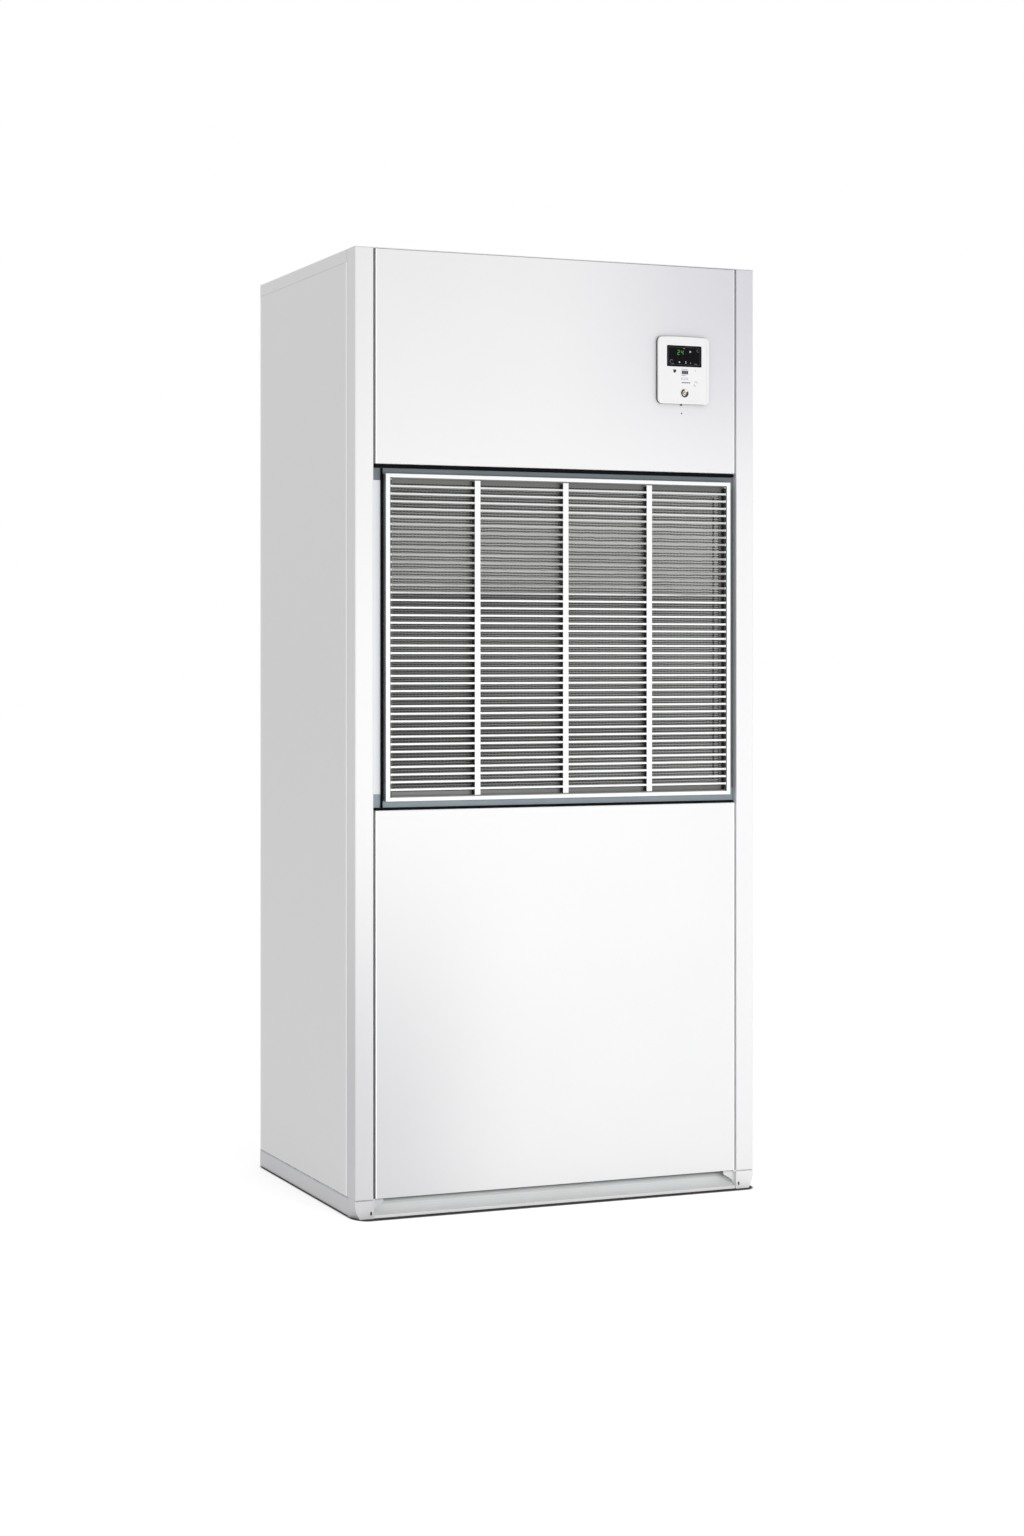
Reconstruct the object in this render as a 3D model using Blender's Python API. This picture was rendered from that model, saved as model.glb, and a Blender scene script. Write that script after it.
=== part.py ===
"""Floor standing packaged air conditioner, in metres.

Z is up, the front faces -Y and the origin is at the bottom centre. A folded sheet cabinet holds a condensing
set below, the return air grille and coil in the middle and a belt driven blower above, which blows upwards
through a spigot in the top.
"""

import math

import bmesh
import bpy
from mathutils import Matrix, Vector

# Case and sheet
WIDTH = 0.850
DEPTH = 0.600
HEIGHT = 1.850
SHEET = 0.0015
GAP = 0.0003
WELD = 0.000001
SIDE = WIDTH / 2
FRONT = -DEPTH / 2
BACK = DEPTH / 2

# The blower sets the depth of the case, and the height of its compartment behind the upper panel
WHEEL_RADIUS = BACK - 0.173
SCROLL_START = WHEEL_RADIUS + 0.013
SCROLL_END = WHEEL_RADIUS + 0.068
UPPER_PANEL_HEIGHT = 2 * WHEEL_RADIUS + 0.158

# Base frame
RAIL_HEIGHT = 0.0345
RAIL_FLANGE = 0.035
PAN_SHEET = 0.0019
BODY_Z = RAIL_HEIGHT + PAN_SHEET + 2 * GAP
SHOE_DEPTH = 0.0378
SHOE_WIDTH = 0.0385
SHOE_INNER_X = SIDE - SHOE_WIDTH
SHOE_PLATE = 0.0025
SHOE_WALL = 0.003
SHOE_TUCK = 0.0105
SHOE_SLOT = (0.0020, 0.0040)
SHOE_SLOT_INSET = 0.0056
SHOE_SLOT_Z = 0.0100
GUSSET_REACH = 0.0230
GUSSET_START = 0.0105
GUSSET_RISE = 0.0180
GUSSET_SET_BACK = 0.0110
COVE_LIP = 0.0035
COVE_LIP_HEIGHT = 0.0045
COVE_BACK = 0.038
COVE_FLANGE = 0.022
SILL_DEPTH = 0.015

# Posts, panels and top cap
POST_FACE = 0.038
POST_RETURN = 0.024
POST_STRIP = 0.0440
LAP_LENGTH = 0.0235
FOLD_RADIUS = 0.0020
SIDE_SEAM = 0.0475
SIDE_FOLD = 0.014
CAP_RIM = 0.0247
REAR_ANGLE = 0.030
PANEL_GAP = 0.0040
PANEL_X = SIDE - POST_FACE - PANEL_GAP
PANEL_DEPTH = 0.022
PANEL_EDGE = 0.0013
LOWER_PANEL_TOP = 0.7765
UPPER_PANEL_BOTTOM = HEIGHT - UPPER_PANEL_HEIGHT
REAR_SPLIT_Z = HEIGHT / 2

# Return air opening, with the grille standing in it
SURROUND_SET_BACK = 0.015
SURROUND_RETURN = 0.0380
GRILLE_X = (-PANEL_X + 0.0190, PANEL_X - 0.0110)
GRILLE_Z = (LOWER_PANEL_TOP + 0.0170, UPPER_PANEL_BOTTOM - 0.0185)
GRILLE_PROUD = 0.0040
GRILLE_BORDER = 0.0095
GRILLE_LIP = 0.0085
GRILLE_LIP_DEPTH = 0.0032
GRILLE_COVER = 0.0120
BLADE_PITCH = 0.0145
BLADE_TOP_Z = GRILLE_Z[1] - 0.0238
BLADE_ROOM = BLADE_TOP_Z - GRILLE_Z[0] - GRILLE_BORDER - 0.0050
BLADE_COUNT = int(BLADE_ROOM / BLADE_PITCH) + 1
BLADE_NOSE = 0.0036
BLADE_TAIL = 0.0012
BLADE_SET_BACK = 0.0022
BLADE_RISE = 0.0015
MULLION_SHARES = (0.2568, 0.5095, 0.7554)
MULLION_WIDTH = 0.0115
MULLION_PROUD = 0.0012
END_BAR = 0.0027
FILTER_DEPTH = 0.020
FILTER_BORDER = 0.014
NET_SET_BACK = 0.005
NET_DEPTH = 0.006

# Decks, drain pan and coil
DECK_FLANGE = 0.020
DECK_FRONT = FRONT + 0.0700
DECK_BACK = BACK - 0.0380
DECK_PORT_X = (SIDE - 0.200, SIDE - 0.050)
DECK_PORT_Y = (FRONT + 0.210, BACK - 0.100)
HOLE_CLEARANCE = 0.004
COIL_Y = (FRONT + 0.095, FRONT + 0.175)
COIL_X = SIDE - 0.095
COIL_Z = (LOWER_PANEL_TOP + 0.0285, UPPER_PANEL_BOTTOM - 0.0330)
COIL_PLATE = 0.002
COIL_ROW_PITCH = 0.0999
COIL_ROWS = int((COIL_Z[1] - COIL_Z[0]) / COIL_ROW_PITCH)
COIL_BEND_RADIUS = 0.022
COIL_BEND_REACH = 0.030
COIL_TUBE = 0.0064
HEADER_RADIUS = 0.011
HEADER_OFFSET = 0.028
LIQUID_OFFSET = 0.042
LIQUID_RISE = 0.122
PAN_HEIGHT = 0.024
DRAIN_SPOT = (-COIL_X + 0.030, COIL_Y[1] + 0.017)
DRAIN_RADIUS = 0.0105
DRAIN_DROP = 0.045

# Blower
BLOWER_X = 0.030
BLOWER_Y = BACK - SCROLL_END - 0.035
BLOWER_Z = HEIGHT - WHEEL_RADIUS - 0.075
WHEEL_WIDTH = 0.254
WHEEL_BLADES = 26
WHEEL_RING = 0.021
WHEEL_RING_WIDTH = 0.003
HUB_RADIUS = 0.024
HUB_HALF = 0.016
DISC_HALF = 0.0012
HOUSING_WIDTH = WHEEL_WIDTH + 0.042
SCROLL_START_ANGLE = 75
OUTLET_TOP_Z = HEIGHT - 0.025
SHAFT_RADIUS = 0.0125
INLET_RADIUS = WHEEL_RADIUS - 0.0285
INLET_FLARE = 0.008
INLET_DEPTH = 0.016
COLLAR_UPSTAND = 0.025
COLLAR_FLANGE = 0.015
BLOWER_BASE_Y = (BLOWER_Y - 0.120, BLOWER_Y + 0.135)
BLOWER_BASE_X = HOUSING_WIDTH / 2 + 0.077
BLOWER_BASE_HEIGHT = 0.024
BLOWER_BASE_FLANGE = 0.018
SCROLL_FOOT_INSET = 0.012
SCROLL_FOOT_TOP = 0.040
BEARING_OFFSET = HOUSING_WIDTH / 2 + 0.030
BEARING_WIDTH = 0.028
BEARING_HEIGHT = 0.0333
BEARING_BASE = 0.127
BEARING_FOOT = 0.012
BEARING_RADIUS = 0.029
STAND_WINDOW = 0.084
STAND_EDGE = 0.020

# Belt drive
PULLEY_X = BLOWER_X - BEARING_OFFSET - 0.039
PULLEY_WIDTH = 0.020
BLOWER_PULLEY_RADIUS = 0.100
MOTOR_PULLEY_RADIUS = 0.050
PULLEY_HUB = 0.010
PULLEY_RIM = 0.006
PULLEY_WEB_HALF = 0.004
WEBBED_PULLEY = 0.070
GROOVE_DEPTH = 0.0115
GROOVE_TOP_HALF = 0.0068
GROOVE_ROOT_HALF = 0.0035
BELT_SET_IN = 0.0005
BELT_HEIGHT = 0.0080
BELT_TOP_HALF = 0.0061
BELT_BASE_HALF = 0.0036
MOTOR_Y = FRONT + 0.118
MOTOR_SHAFT_HEIGHT = 0.090
MOTOR_BASE_SHEET = 0.003
MOTOR_BASE_WIDTH = 0.132
MOTOR_START = 0.050
MOTOR_LENGTH = 0.240
MOTOR_RADIUS = 0.0750
MOTOR_SHAFT_RADIUS = 0.0120
MOTOR_BAND = 0.004
MOTOR_BELL = 0.030
MOTOR_FAN_COVER = 0.052
MOTOR_FOOT = 0.026
MOTOR_FOOT_LENGTH = 0.120
TERMINAL_BOX = (0.090, 0.080, 0.105)

# Condensing set
COMPRESSOR_X = -SIDE + 0.205
COMPRESSOR_Y = FRONT + 0.210
COMPRESSOR_RADIUS = 0.085
COMPRESSOR_HEIGHT = 0.420
COMPRESSOR_PLATE = (0.098, 0.005)
COMPRESSOR_MOUNT = (0.014, 0.022)
COMPRESSOR_MOUNT_INSET = 0.016
COMPRESSOR_TOP_STUB = (0.012, 0.018)
SUCTION_STUB = (0.014, 0.022)
SUCTION_Z = 0.360
CONDENSER_Y = BACK - 0.135
CONDENSER_Z = 0.190
CONDENSER_RADIUS = 0.085
CONDENSER_LENGTH = 0.600
CONDENSER_HEAD = (0.040, 0.012)
CONDENSER_SHELL_STEP = 0.006
CONDENSER_END = (0.020, 0.010)
WATER_STUB_X = CONDENSER_LENGTH / 2 - 0.020
WATER_STUB_RADIUS = 0.0168
WATER_STUB_WALL = 0.0035
WATER_STUB_DEPTH = 0.040
WATER_STUB_RISE = 0.045
WATER_STUB_END = BACK + 0.010
GAS_TUBE = 0.0095
GAS_STUB_RISE = 0.014
CRADLE = (0.200, 0.025, 0.003)
SADDLE = (0.070, 0.004, 0.020)
SADDLE_XS = (-0.175, 0.175)

# Pipes and control box
DISCHARGE_LOOP = 0.055
DISCHARGE_BEND = 0.030
SUCTION_BEND = 0.036
LIQUID_BEND = 0.016
LIQUID_X = CONDENSER_LENGTH / 2 - 0.120
LIQUID_TURN_X = SIDE - 0.025
LIQUID_RUN_Z = 0.560
DRIER_Z = 0.430
DRIER_RADIUS = 0.026
DRIER_HALF = 0.080
DRIER_TAPER = 0.018
CONTROL_BOX_X = (0.010, SIDE - 0.125)
CONTROL_BOX_Y = (FRONT + 0.045, FRONT + 0.150)
CONTROL_BOX_HEIGHT = 0.290

# Wall controller on the upper panel
CONTROLLER_X = (PANEL_X - 0.175, PANEL_X - 0.062)
CONTROLLER_Z = (UPPER_PANEL_BOTTOM + 0.135, UPPER_PANEL_BOTTOM + 0.268)
CONTROLLER_DEPTH = 0.0097
CONTROLLER_CORNER = 0.009
CONTROLLER_ARCH = 0.0012
RIM_HEIGHT = 0.0010
RIM_WIDTH = 0.0055
RECESS_CORNER = 0.005
DISPLAY_X = (CONTROLLER_X[0] + 0.0200, CONTROLLER_X[1] - 0.0170)
DISPLAY_Z = (CONTROLLER_Z[1] - 0.0585, CONTROLLER_Z[1] - 0.0170)
DISPLAY_CORNER = 0.0015
DISPLAY_INSET = 0.0022
DISPLAY_PROUD = 0.0003
MODE_KEY = (CONTROLLER_X[0] + 0.0593, CONTROLLER_Z[0] + 0.0630)
MODE_KEY_SIZE = (0.017, 0.008)
MODE_KEY_CORNER = 0.0035
POWER_BUTTON = (CONTROLLER_X[0] + 0.0588, CONTROLLER_Z[0] + 0.0217)
POWER_BUTTON_RADIUS = 0.0082
BUTTON_DISH = 0.0026
BUTTON_STEP = 0.0004
KEY_PROUD = 0.0008
KEY_DEPTH = 0.0050
KEY_CLEARANCE = 0.0010

# How far a cutting shape runs past the sheet or solid that it cuts
PAST = 0.010


def linear(channel):
    """One sRGB channel, 0 to 1, as linear light."""
    if channel <= 0.04045:
        return channel / 12.92
    return ((channel + 0.055) / 1.055) ** 2.4


def material(name, colour, roughness, metallic=0.0):
    """A plain material from an sRGB hex colour."""
    made = bpy.data.materials.new(name)
    made.use_nodes = True
    shader = made.node_tree.nodes["Principled BSDF"]
    rgb = [linear(int(colour[i : i + 2], 16) / 255) for i in (0, 2, 4)]
    shader.inputs["Base Color"].default_value = (*rgb, 1.0)
    shader.inputs["Roughness"].default_value = roughness
    shader.inputs["Metallic"].default_value = metallic
    made.diffuse_color = (*rgb, 1.0)
    return made


def linked(name, shape, look):
    """An object from a bmesh, with every shell of it facing out and its round faces shaded smooth."""
    bmesh.ops.recalc_face_normals(shape, faces=shape.faces)
    mesh = bpy.data.meshes.new(name)
    shape.to_mesh(mesh)
    shape.free()
    mesh.shade_smooth()
    mesh.set_sharp_from_angle(angle=math.radians(30))
    mesh.materials.append(look)
    made = bpy.data.objects.new(name, mesh)
    bpy.context.scene.collection.objects.link(made)
    return made


def placed(u, v, h, axis):
    """A point h along the axis, with u and v across it."""
    if axis == "X":
        return (h, u, v)
    if axis == "Y":
        return (u, h, v)
    return (u, v, h)


def prism(name, outlines, axis, span, look):
    """Closed outlines extruded along an axis. A list of outlines gives one closed shell for each."""
    if not isinstance(outlines[0], list):
        outlines = [outlines]
    shape = bmesh.new()
    for outline in outlines:
        ends = [shape.verts.new(placed(u, v, span[0], axis)) for u, v in outline]
        base = shape.faces.new(ends)
        drawn = bmesh.ops.extrude_face_region(shape, geom=[base], use_keep_orig=True)
        moved = [item for item in drawn["geom"] if isinstance(item, bmesh.types.BMVert)]
        bmesh.ops.translate(shape, verts=moved, vec=placed(0.0, 0.0, span[1] - span[0], axis))
    return linked(name, shape, look)


def boxes(name, corners, look):
    """Several boxes in one mesh, each given as (x, y, z) spans."""
    shape = bmesh.new()
    for spans in corners:
        middle = [(span[0] + span[1]) / 2 for span in spans]
        size = [abs(span[1] - span[0]) for span in spans]
        place = Matrix.Translation(middle) @ Matrix.Diagonal((*size, 1.0))
        bmesh.ops.create_cube(shape, size=1.0, matrix=place)
    return linked(name, shape, look)


def box(name, x, y, z, look):
    return boxes(name, [(x, y, z)], look)


def rounded(path, radius, steps=3):
    """The path with an arc at each inner corner."""
    points = [Vector(point) for point in path]
    made = [points[0]]
    for before, corner, after in zip(points, points[1:], points[2:]):
        arrive = (corner - before).normalized()
        leave = (after - corner).normalized()
        turn = arrive.angle(leave)
        start = corner - arrive * radius * math.tan(turn / 2)
        inward = (leave - arrive * leave.dot(arrive)).normalized()
        for i in range(steps + 1):
            angle = turn * i / steps
            made.append(start + inward * radius * (1 - math.cos(angle)) + arrive * radius * math.sin(angle))
    made.append(points[-1])
    return made


def offset(path, distance):
    """The flat path moved to its left by this distance, with mitred corners."""
    points = [Vector(point) for point in path]
    made = []
    for i, point in enumerate(points):
        arrive = (point - points[i - 1]).normalized() if i else None
        leave = (points[i + 1] - point).normalized() if i + 1 < len(points) else None
        arrive = arrive or leave
        leave = leave or arrive
        left = Vector((-arrive.y - leave.y, arrive.x + leave.x)).normalized()
        along = left.dot(Vector((-arrive.y, arrive.x)))
        made.append(tuple(point + left * distance / along))
    return made


def strip(path, thickness=SHEET, radius=FOLD_RADIUS, steps=3):
    """The outline of folded sheet whose middle follows the path."""
    bent = rounded(path, radius, steps) if radius else path
    return offset(bent, thickness / 2) + offset(bent, -thickness / 2)[::-1]


def mirrored(outline, side):
    """The outline with its first coordinate on this side, -1 for left and 1 for right."""
    return [(side * u, v) for u, v in outline]


def circle(centre, radius, steps, start=0.0):
    angles = [start + 2 * math.pi * i / steps for i in range(steps)]
    return [(centre[0] + radius * math.cos(a), centre[1] + radius * math.sin(a)) for a in angles]


def lathe(name, profile, axis, centre, look, steps=32):
    """The (radius, height) profile spun about a line through centre. It closes on the axis or on itself."""
    shape = bmesh.new()
    corners = [shape.verts.new(placed(radius, 0.0, height, axis)) for radius, height in profile]
    pairs = list(zip(corners, corners[1:]))
    if profile[0][0] and profile[-1][0]:
        pairs.append((corners[-1], corners[0]))
    edges = [shape.edges.new(pair) for pair in pairs]
    line = placed(0.0, 0.0, 1.0, axis)
    turn = 2 * math.pi
    bmesh.ops.spin(
        shape, geom=corners + edges, axis=line, cent=(0, 0, 0), angle=turn, steps=steps, use_merge=True
    )
    bmesh.ops.remove_doubles(shape, verts=shape.verts, dist=WELD)
    bmesh.ops.translate(shape, verts=shape.verts, vec=centre)
    return linked(name, shape, look)


def cylinder(name, axis, centre, radius, span, look, steps=24):
    low, high = span
    return lathe(name, [(0.0, low), (radius, low), (radius, high), (0.0, high)], axis, centre, look, steps)


def tube(name, path, radius, bend, look, steps=4, bevel=2):
    """Round bar or pipe along a path, with a bend radius at each corner."""
    curve = bpy.data.curves.new(name, "CURVE")
    curve.dimensions = "3D"
    curve.bevel_depth = radius
    curve.bevel_resolution = bevel
    curve.use_fill_caps = True
    points = rounded(path, bend, steps)
    line = curve.splines.new("POLY")
    line.points.add(len(points) - 1)
    for slot, point in zip(line.points, points):
        slot.co = (*point, 1.0)
    curve.materials.append(look)
    made = bpy.data.objects.new(name, curve)
    bpy.context.scene.collection.objects.link(made)
    return made


def as_mesh(made):
    """The curve object made a mesh, with its end caps sewn on, so that a Boolean takes it."""
    mesh = bpy.data.meshes.new_from_object(made)
    name = made.name
    shape = bmesh.new()
    shape.from_mesh(mesh)
    bmesh.ops.remove_doubles(shape, verts=shape.verts, dist=WELD)
    bmesh.ops.recalc_face_normals(shape, faces=shape.faces)
    shape.to_mesh(mesh)
    shape.free()
    bpy.data.objects.remove(made)
    sewn = bpy.data.objects.new(name, mesh)
    bpy.context.scene.collection.objects.link(sewn)
    return sewn


def combine(made, helper, operation):
    """A Boolean modifier on the object. The helper stays in the scene as a hidden wire."""
    helper.hide_render = True
    helper.display_type = "WIRE"
    step = made.modifiers.new(operation.title(), "BOOLEAN")
    step.operation = operation
    step.solver = "EXACT"
    step.object = helper
    return made


def cut(made, helper):
    return combine(made, helper, "DIFFERENCE")


def fuse(made, helper):
    return combine(made, helper, "UNION")


def soften(made, width, segments=2):
    """Broken edges, as a folded, moulded or cast piece has."""
    step = made.modifiers.new("Edges", "BEVEL")
    step.width = width
    step.segments = segments
    step.limit_method = "ANGLE"
    return made


def pivot(made, point):
    """Puts the object's origin at this point and leaves its shape where it is."""
    made.data.transform(Matrix.Translation(-Vector(point)))
    made.location = point
    return made


def base_frame(looks):
    """Floor rails, corner shoes with their gussets, the coved front rail and the floor pan they carry."""
    paint = looks["paint"]
    mid = SHEET / 2
    for side, tag in ((-1, "l"), (1, "r")):
        flange = SIDE - RAIL_FLANGE
        wall = SIDE - mid
        channel = [(flange, mid), (wall, mid), (wall, RAIL_HEIGHT - mid), (flange, RAIL_HEIGHT - mid)]
        span = (FRONT + SHOE_DEPTH + 2 * GAP, BACK)
        prism(f"rail_side_{tag}", mirrored(strip(channel), side), "Y", span, paint)
        shoe(side, tag, paint)
    rear_y = BACK - mid
    flange = BACK - SHOE_DEPTH
    rear = [(flange, mid), (rear_y, mid), (rear_y, RAIL_HEIGHT - mid), (flange, RAIL_HEIGHT - mid)]
    inside = SIDE - RAIL_FLANGE - GAP
    prism("rail_rear", strip(rear), "X", (-inside, inside), paint)

    lip = FRONT + COVE_LIP + mid
    top = RAIL_HEIGHT - mid
    reach = COVE_BACK - COVE_LIP - SHEET
    cove = [(lip + COVE_FLANGE, mid), (lip, mid), (lip, COVE_LIP_HEIGHT)]
    for i in range(1, 8):
        angle = math.pi / 2 * i / 8
        cove.append((lip + reach * math.sin(angle), top - (top - COVE_LIP_HEIGHT) * math.cos(angle)))
    cove.append((lip + reach + COVE_FLANGE, top))
    inside = SHOE_INNER_X - GAP
    prism("rail_front", strip(cove, radius=0), "X", (-inside, inside), paint)

    inner = SHOE_INNER_X - PANEL_GAP
    front = FRONT + SHOE_DEPTH + GAP
    sill = FRONT + SILL_DEPTH
    outline = [(-SIDE, front), (-inner, front), (-inner, sill), (inner, sill), (inner, front), (SIDE, front)]
    outline += [(SIDE, BACK), (-SIDE, BACK)]
    prism("base_pan", outline, "Z", (RAIL_HEIGHT + GAP, RAIL_HEIGHT + GAP + PAN_SHEET), looks["galvanised"])


def shoe_edge(inset, tuck=1.0):
    """The outer edge of a shoe from the panels down to the floor, moved in by inset and curving in by tuck."""
    edge = []
    for share, curve in ((1.0, 0.0), (0.75, 0.04), (0.49, 0.19), (0.25, 0.50), (0.07, 0.81), (0.0, 1.0)):
        edge.append((SIDE - SHOE_TUCK * curve * tuck - inset, RAIL_HEIGHT * share))
    return edge


def shoe_wall(name, side, paint):
    """The shoe's outer wall: curved like the shoe's edge in front, upright like the rail behind."""
    shape = bmesh.new()
    loops = []
    for y, tuck, inset in ((FRONT + SHOE_PLATE / 2, 1.0, GAP), (FRONT + SHOE_DEPTH, 0.0, 0.0)):
        outline = shoe_edge(inset, tuck) + shoe_edge(SHOE_WALL, tuck)[::-1]
        loops.append([shape.verts.new((x, y, z)) for x, z in mirrored(outline, side)])
    (front, back) = loops
    for i in range(len(front)):
        shape.faces.new((front[i - 1], front[i], back[i], back[i - 1]))
    # Each end is a ladder of small faces, because the points of the upright end lie in one line.
    for loop in loops:
        for i in range(len(loop) // 2 - 1):
            shape.faces.new((loop[i], loop[i + 1], loop[-i - 2], loop[-i - 1]))
    bmesh.ops.triangulate(shape, faces=shape.faces)
    bmesh.ops.recalc_face_normals(shape, faces=shape.faces)
    return linked(name, shape, paint)


def gusset_edge():
    """The curved lower edge of the gusset, from the shoe's inner wall out under the panel."""
    edge = [(SHOE_INNER_X + SHOE_PLATE / 2, GUSSET_START)]
    for i in range(6):
        share = i / 5
        edge.append((SHOE_INNER_X - GUSSET_REACH * share, GUSSET_START + GUSSET_RISE * share**0.65))
    edge.append((SHOE_INNER_X - GUSSET_REACH, RAIL_HEIGHT))
    edge.append((SHOE_INNER_X + SHOE_PLATE / 2, RAIL_HEIGHT))
    return edge


def shoe(side, tag, paint):
    """A hollow front corner shoe, whose edge curves in to the floor, with a gusset under the panel."""
    plate_back = FRONT + SHOE_PLATE
    depth = (FRONT + SHOE_PLATE / 2, FRONT + SHOE_DEPTH)
    outline = shoe_edge(0.0) + [(SHOE_INNER_X, 0.0), (SHOE_INNER_X, RAIL_HEIGHT)]
    made = prism(f"shoe_{tag}", mirrored(outline, side), "Y", (FRONT, plate_back), paint)
    fuse(made, shoe_wall(f"shoe_{tag}_wall", side, paint))
    flange_x = sorted((side * SHOE_INNER_X, side * (SHOE_INNER_X + SHOE_PLATE)))
    fuse(made, box(f"shoe_{tag}_flange", flange_x, depth, (0.0, RAIL_HEIGHT), paint))
    seat = FRONT + GUSSET_SET_BACK
    gusset = mirrored(gusset_edge(), side)
    fuse(made, prism(f"shoe_{tag}_gusset", gusset, "Y", (seat, seat + SHOE_PLATE), paint))
    top_x = sorted((side * (SHOE_INNER_X - PANEL_GAP), side * SIDE))
    top_z = (RAIL_HEIGHT - SHEET, RAIL_HEIGHT + GAP + PAN_SHEET)
    fuse(made, box(f"shoe_{tag}_top", top_x, (plate_back + SHEET, depth[1]), top_z, paint))
    slot_x = side * (SHOE_INNER_X + SHOE_SLOT_INSET)
    slot = [(slot_x + x * SHOE_SLOT[0], SHOE_SLOT_Z + z * SHOE_SLOT[1]) for x, z in circle((0, 0), 1.0, 12)]
    cut(made, prism(f"shoe_{tag}_slot", slot, "Y", (FRONT - PAST, plate_back + SHEET / 2), paint))


def posts(looks):
    """Front posts folded from one sheet each, with a lap behind the side panel, and plain rear angles."""
    top = HEIGHT - SHEET - GAP
    mid = SHEET / 2
    wall = SIDE - mid
    lap = SIDE - 1.5 * SHEET - GAP
    face = SIDE - POST_FACE + mid
    for side, tag in ((-1, "l"), (1, "r")):
        seam = FRONT + POST_STRIP
        path = [(lap, seam + LAP_LENGTH), (lap, seam + FOLD_RADIUS), (wall, seam)]
        path += [(wall, FRONT + mid), (face, FRONT + mid), (face, FRONT + POST_RETURN)]
        section = offset_section(path)
        prism(f"post_front_{tag}", mirrored(section, side), "Z", (BODY_Z, top), looks["paint"])
        rear_y = BACK - 1.5 * SHEET - GAP
        angle = [(lap, rear_y - REAR_ANGLE), (lap, rear_y), (lap - REAR_ANGLE, rear_y)]
        prism(f"post_rear_{tag}", mirrored(strip(angle), side), "Z", (BODY_Z, top), looks["galvanised"])


def offset_section(path):
    """The folded outline of a front post. The small step to the lap stays sharp, the other folds are round."""
    bent = list(path[:2]) + [tuple(point) for point in rounded(path[2:], FOLD_RADIUS)]
    return offset(bent, SHEET / 2) + offset(bent, -SHEET / 2)[::-1]


def side_panels(looks):
    """Flat side sheets with a folded edge at the top and the bottom."""
    top = HEIGHT - CAP_RIM - GAP
    for side, tag in ((-1, "l"), (1, "r")):
        x = sorted((side * SIDE, side * (SIDE - SHEET)))
        y = (FRONT + SIDE_SEAM, BACK - SHEET - GAP)
        made = box(f"side_panel_{tag}", x, y, (BODY_Z, top), looks["paint"])
        for end, z in (("low", (BODY_Z, BODY_Z + SHEET)), ("high", (top - SHEET, top))):
            fold_x = sorted((side * (SIDE - SHEET / 2), side * (SIDE - SIDE_FOLD)))
            fold_y = (DECK_FRONT, DECK_BACK)
            fuse(made, box(f"side_panel_{tag}_{end}", fold_x, fold_y, z, looks["paint"]))


def rear_panels(looks):
    """Two back sheets. The lower one lets the two water connections through."""
    y = (BACK - SHEET, BACK)
    top = HEIGHT - CAP_RIM - GAP
    lower = box("rear_panel_lower", (-SIDE, SIDE), y, (BODY_Z, REAR_SPLIT_Z), looks["paint"])
    box("rear_panel_upper", (-SIDE, SIDE), y, (REAR_SPLIT_Z + GAP, top), looks["paint"])
    for sign, tag in ((-1, "low"), (1, "high")):
        centre = (WATER_STUB_X, 0.0, CONDENSER_Z + sign * WATER_STUB_RISE)
        wide = WATER_STUB_RADIUS + HOLE_CLEARANCE
        hole = cylinder(f"water_hole_{tag}", "Y", centre, wide, (BACK - PAST, BACK + PAST), looks["paint"])
        cut(lower, hole)


def top_cap(looks):
    """The top sheet with a rim down both sides and the back, and the opening for the discharge spigot."""
    paint = looks["paint"]
    cap = box("top_cap", (-SIDE, SIDE), (FRONT, BACK), (HEIGHT - CAP_RIM, HEIGHT), paint)
    soften(cap, FOLD_RADIUS / 2, 2)
    under = (HEIGHT - CAP_RIM - PAST, HEIGHT - SHEET)
    cut(cap, box("cap_hollow", (-SIDE + SHEET, SIDE - SHEET), (FRONT - PAST, BACK - SHEET), under, paint))
    cut(cap, box("cap_front", (-SIDE - PAST, SIDE + PAST), (FRONT - PAST, FRONT + SIDE_SEAM), under, paint))
    x, y = collar_span()
    opening = ((x[0] - GAP, x[1] + GAP), (y[0] - GAP, y[1] + GAP))
    cut(cap, box("cap_opening", *opening, (HEIGHT - CAP_RIM - PAST, HEIGHT + PAST), paint))


def collar_span():
    """The outside of the discharge spigot, which stands on the mouth of the scroll housing."""
    half = HOUSING_WIDTH / 2
    x = (BLOWER_X - half, BLOWER_X + half)
    y = (outlet_front_y(), BLOWER_Y + SCROLL_END + SHEET / 2)
    return x, y


def outlet_front_y():
    """The outside of the housing's front wall where the air leaves, above the cut-off."""
    return BLOWER_Y + SCROLL_START * math.cos(math.radians(SCROLL_START_ANGLE)) - SHEET / 2


def discharge_collar(looks):
    """A rectangular duct spigot with a flange that lies on the top sheet."""
    look = looks["galvanised"]
    x, y = collar_span()
    flange_x = (x[0] - COLLAR_FLANGE, x[1] + COLLAR_FLANGE)
    flange_y = (y[0] - COLLAR_FLANGE, y[1] + COLLAR_FLANGE)
    collar = box("discharge_collar", x, y, (OUTLET_TOP_Z + GAP, HEIGHT + COLLAR_UPSTAND), look)
    fuse(collar, box("collar_flange", flange_x, flange_y, (HEIGHT + GAP, HEIGHT + GAP + SHEET), look))
    hollow = ((x[0] + SHEET, x[1] - SHEET), (y[0] + SHEET, y[1] - SHEET))
    cut(collar, box("collar_hollow", *hollow, (OUTLET_TOP_Z - PAST, HEIGHT + COLLAR_UPSTAND + PAST), look))


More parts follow.
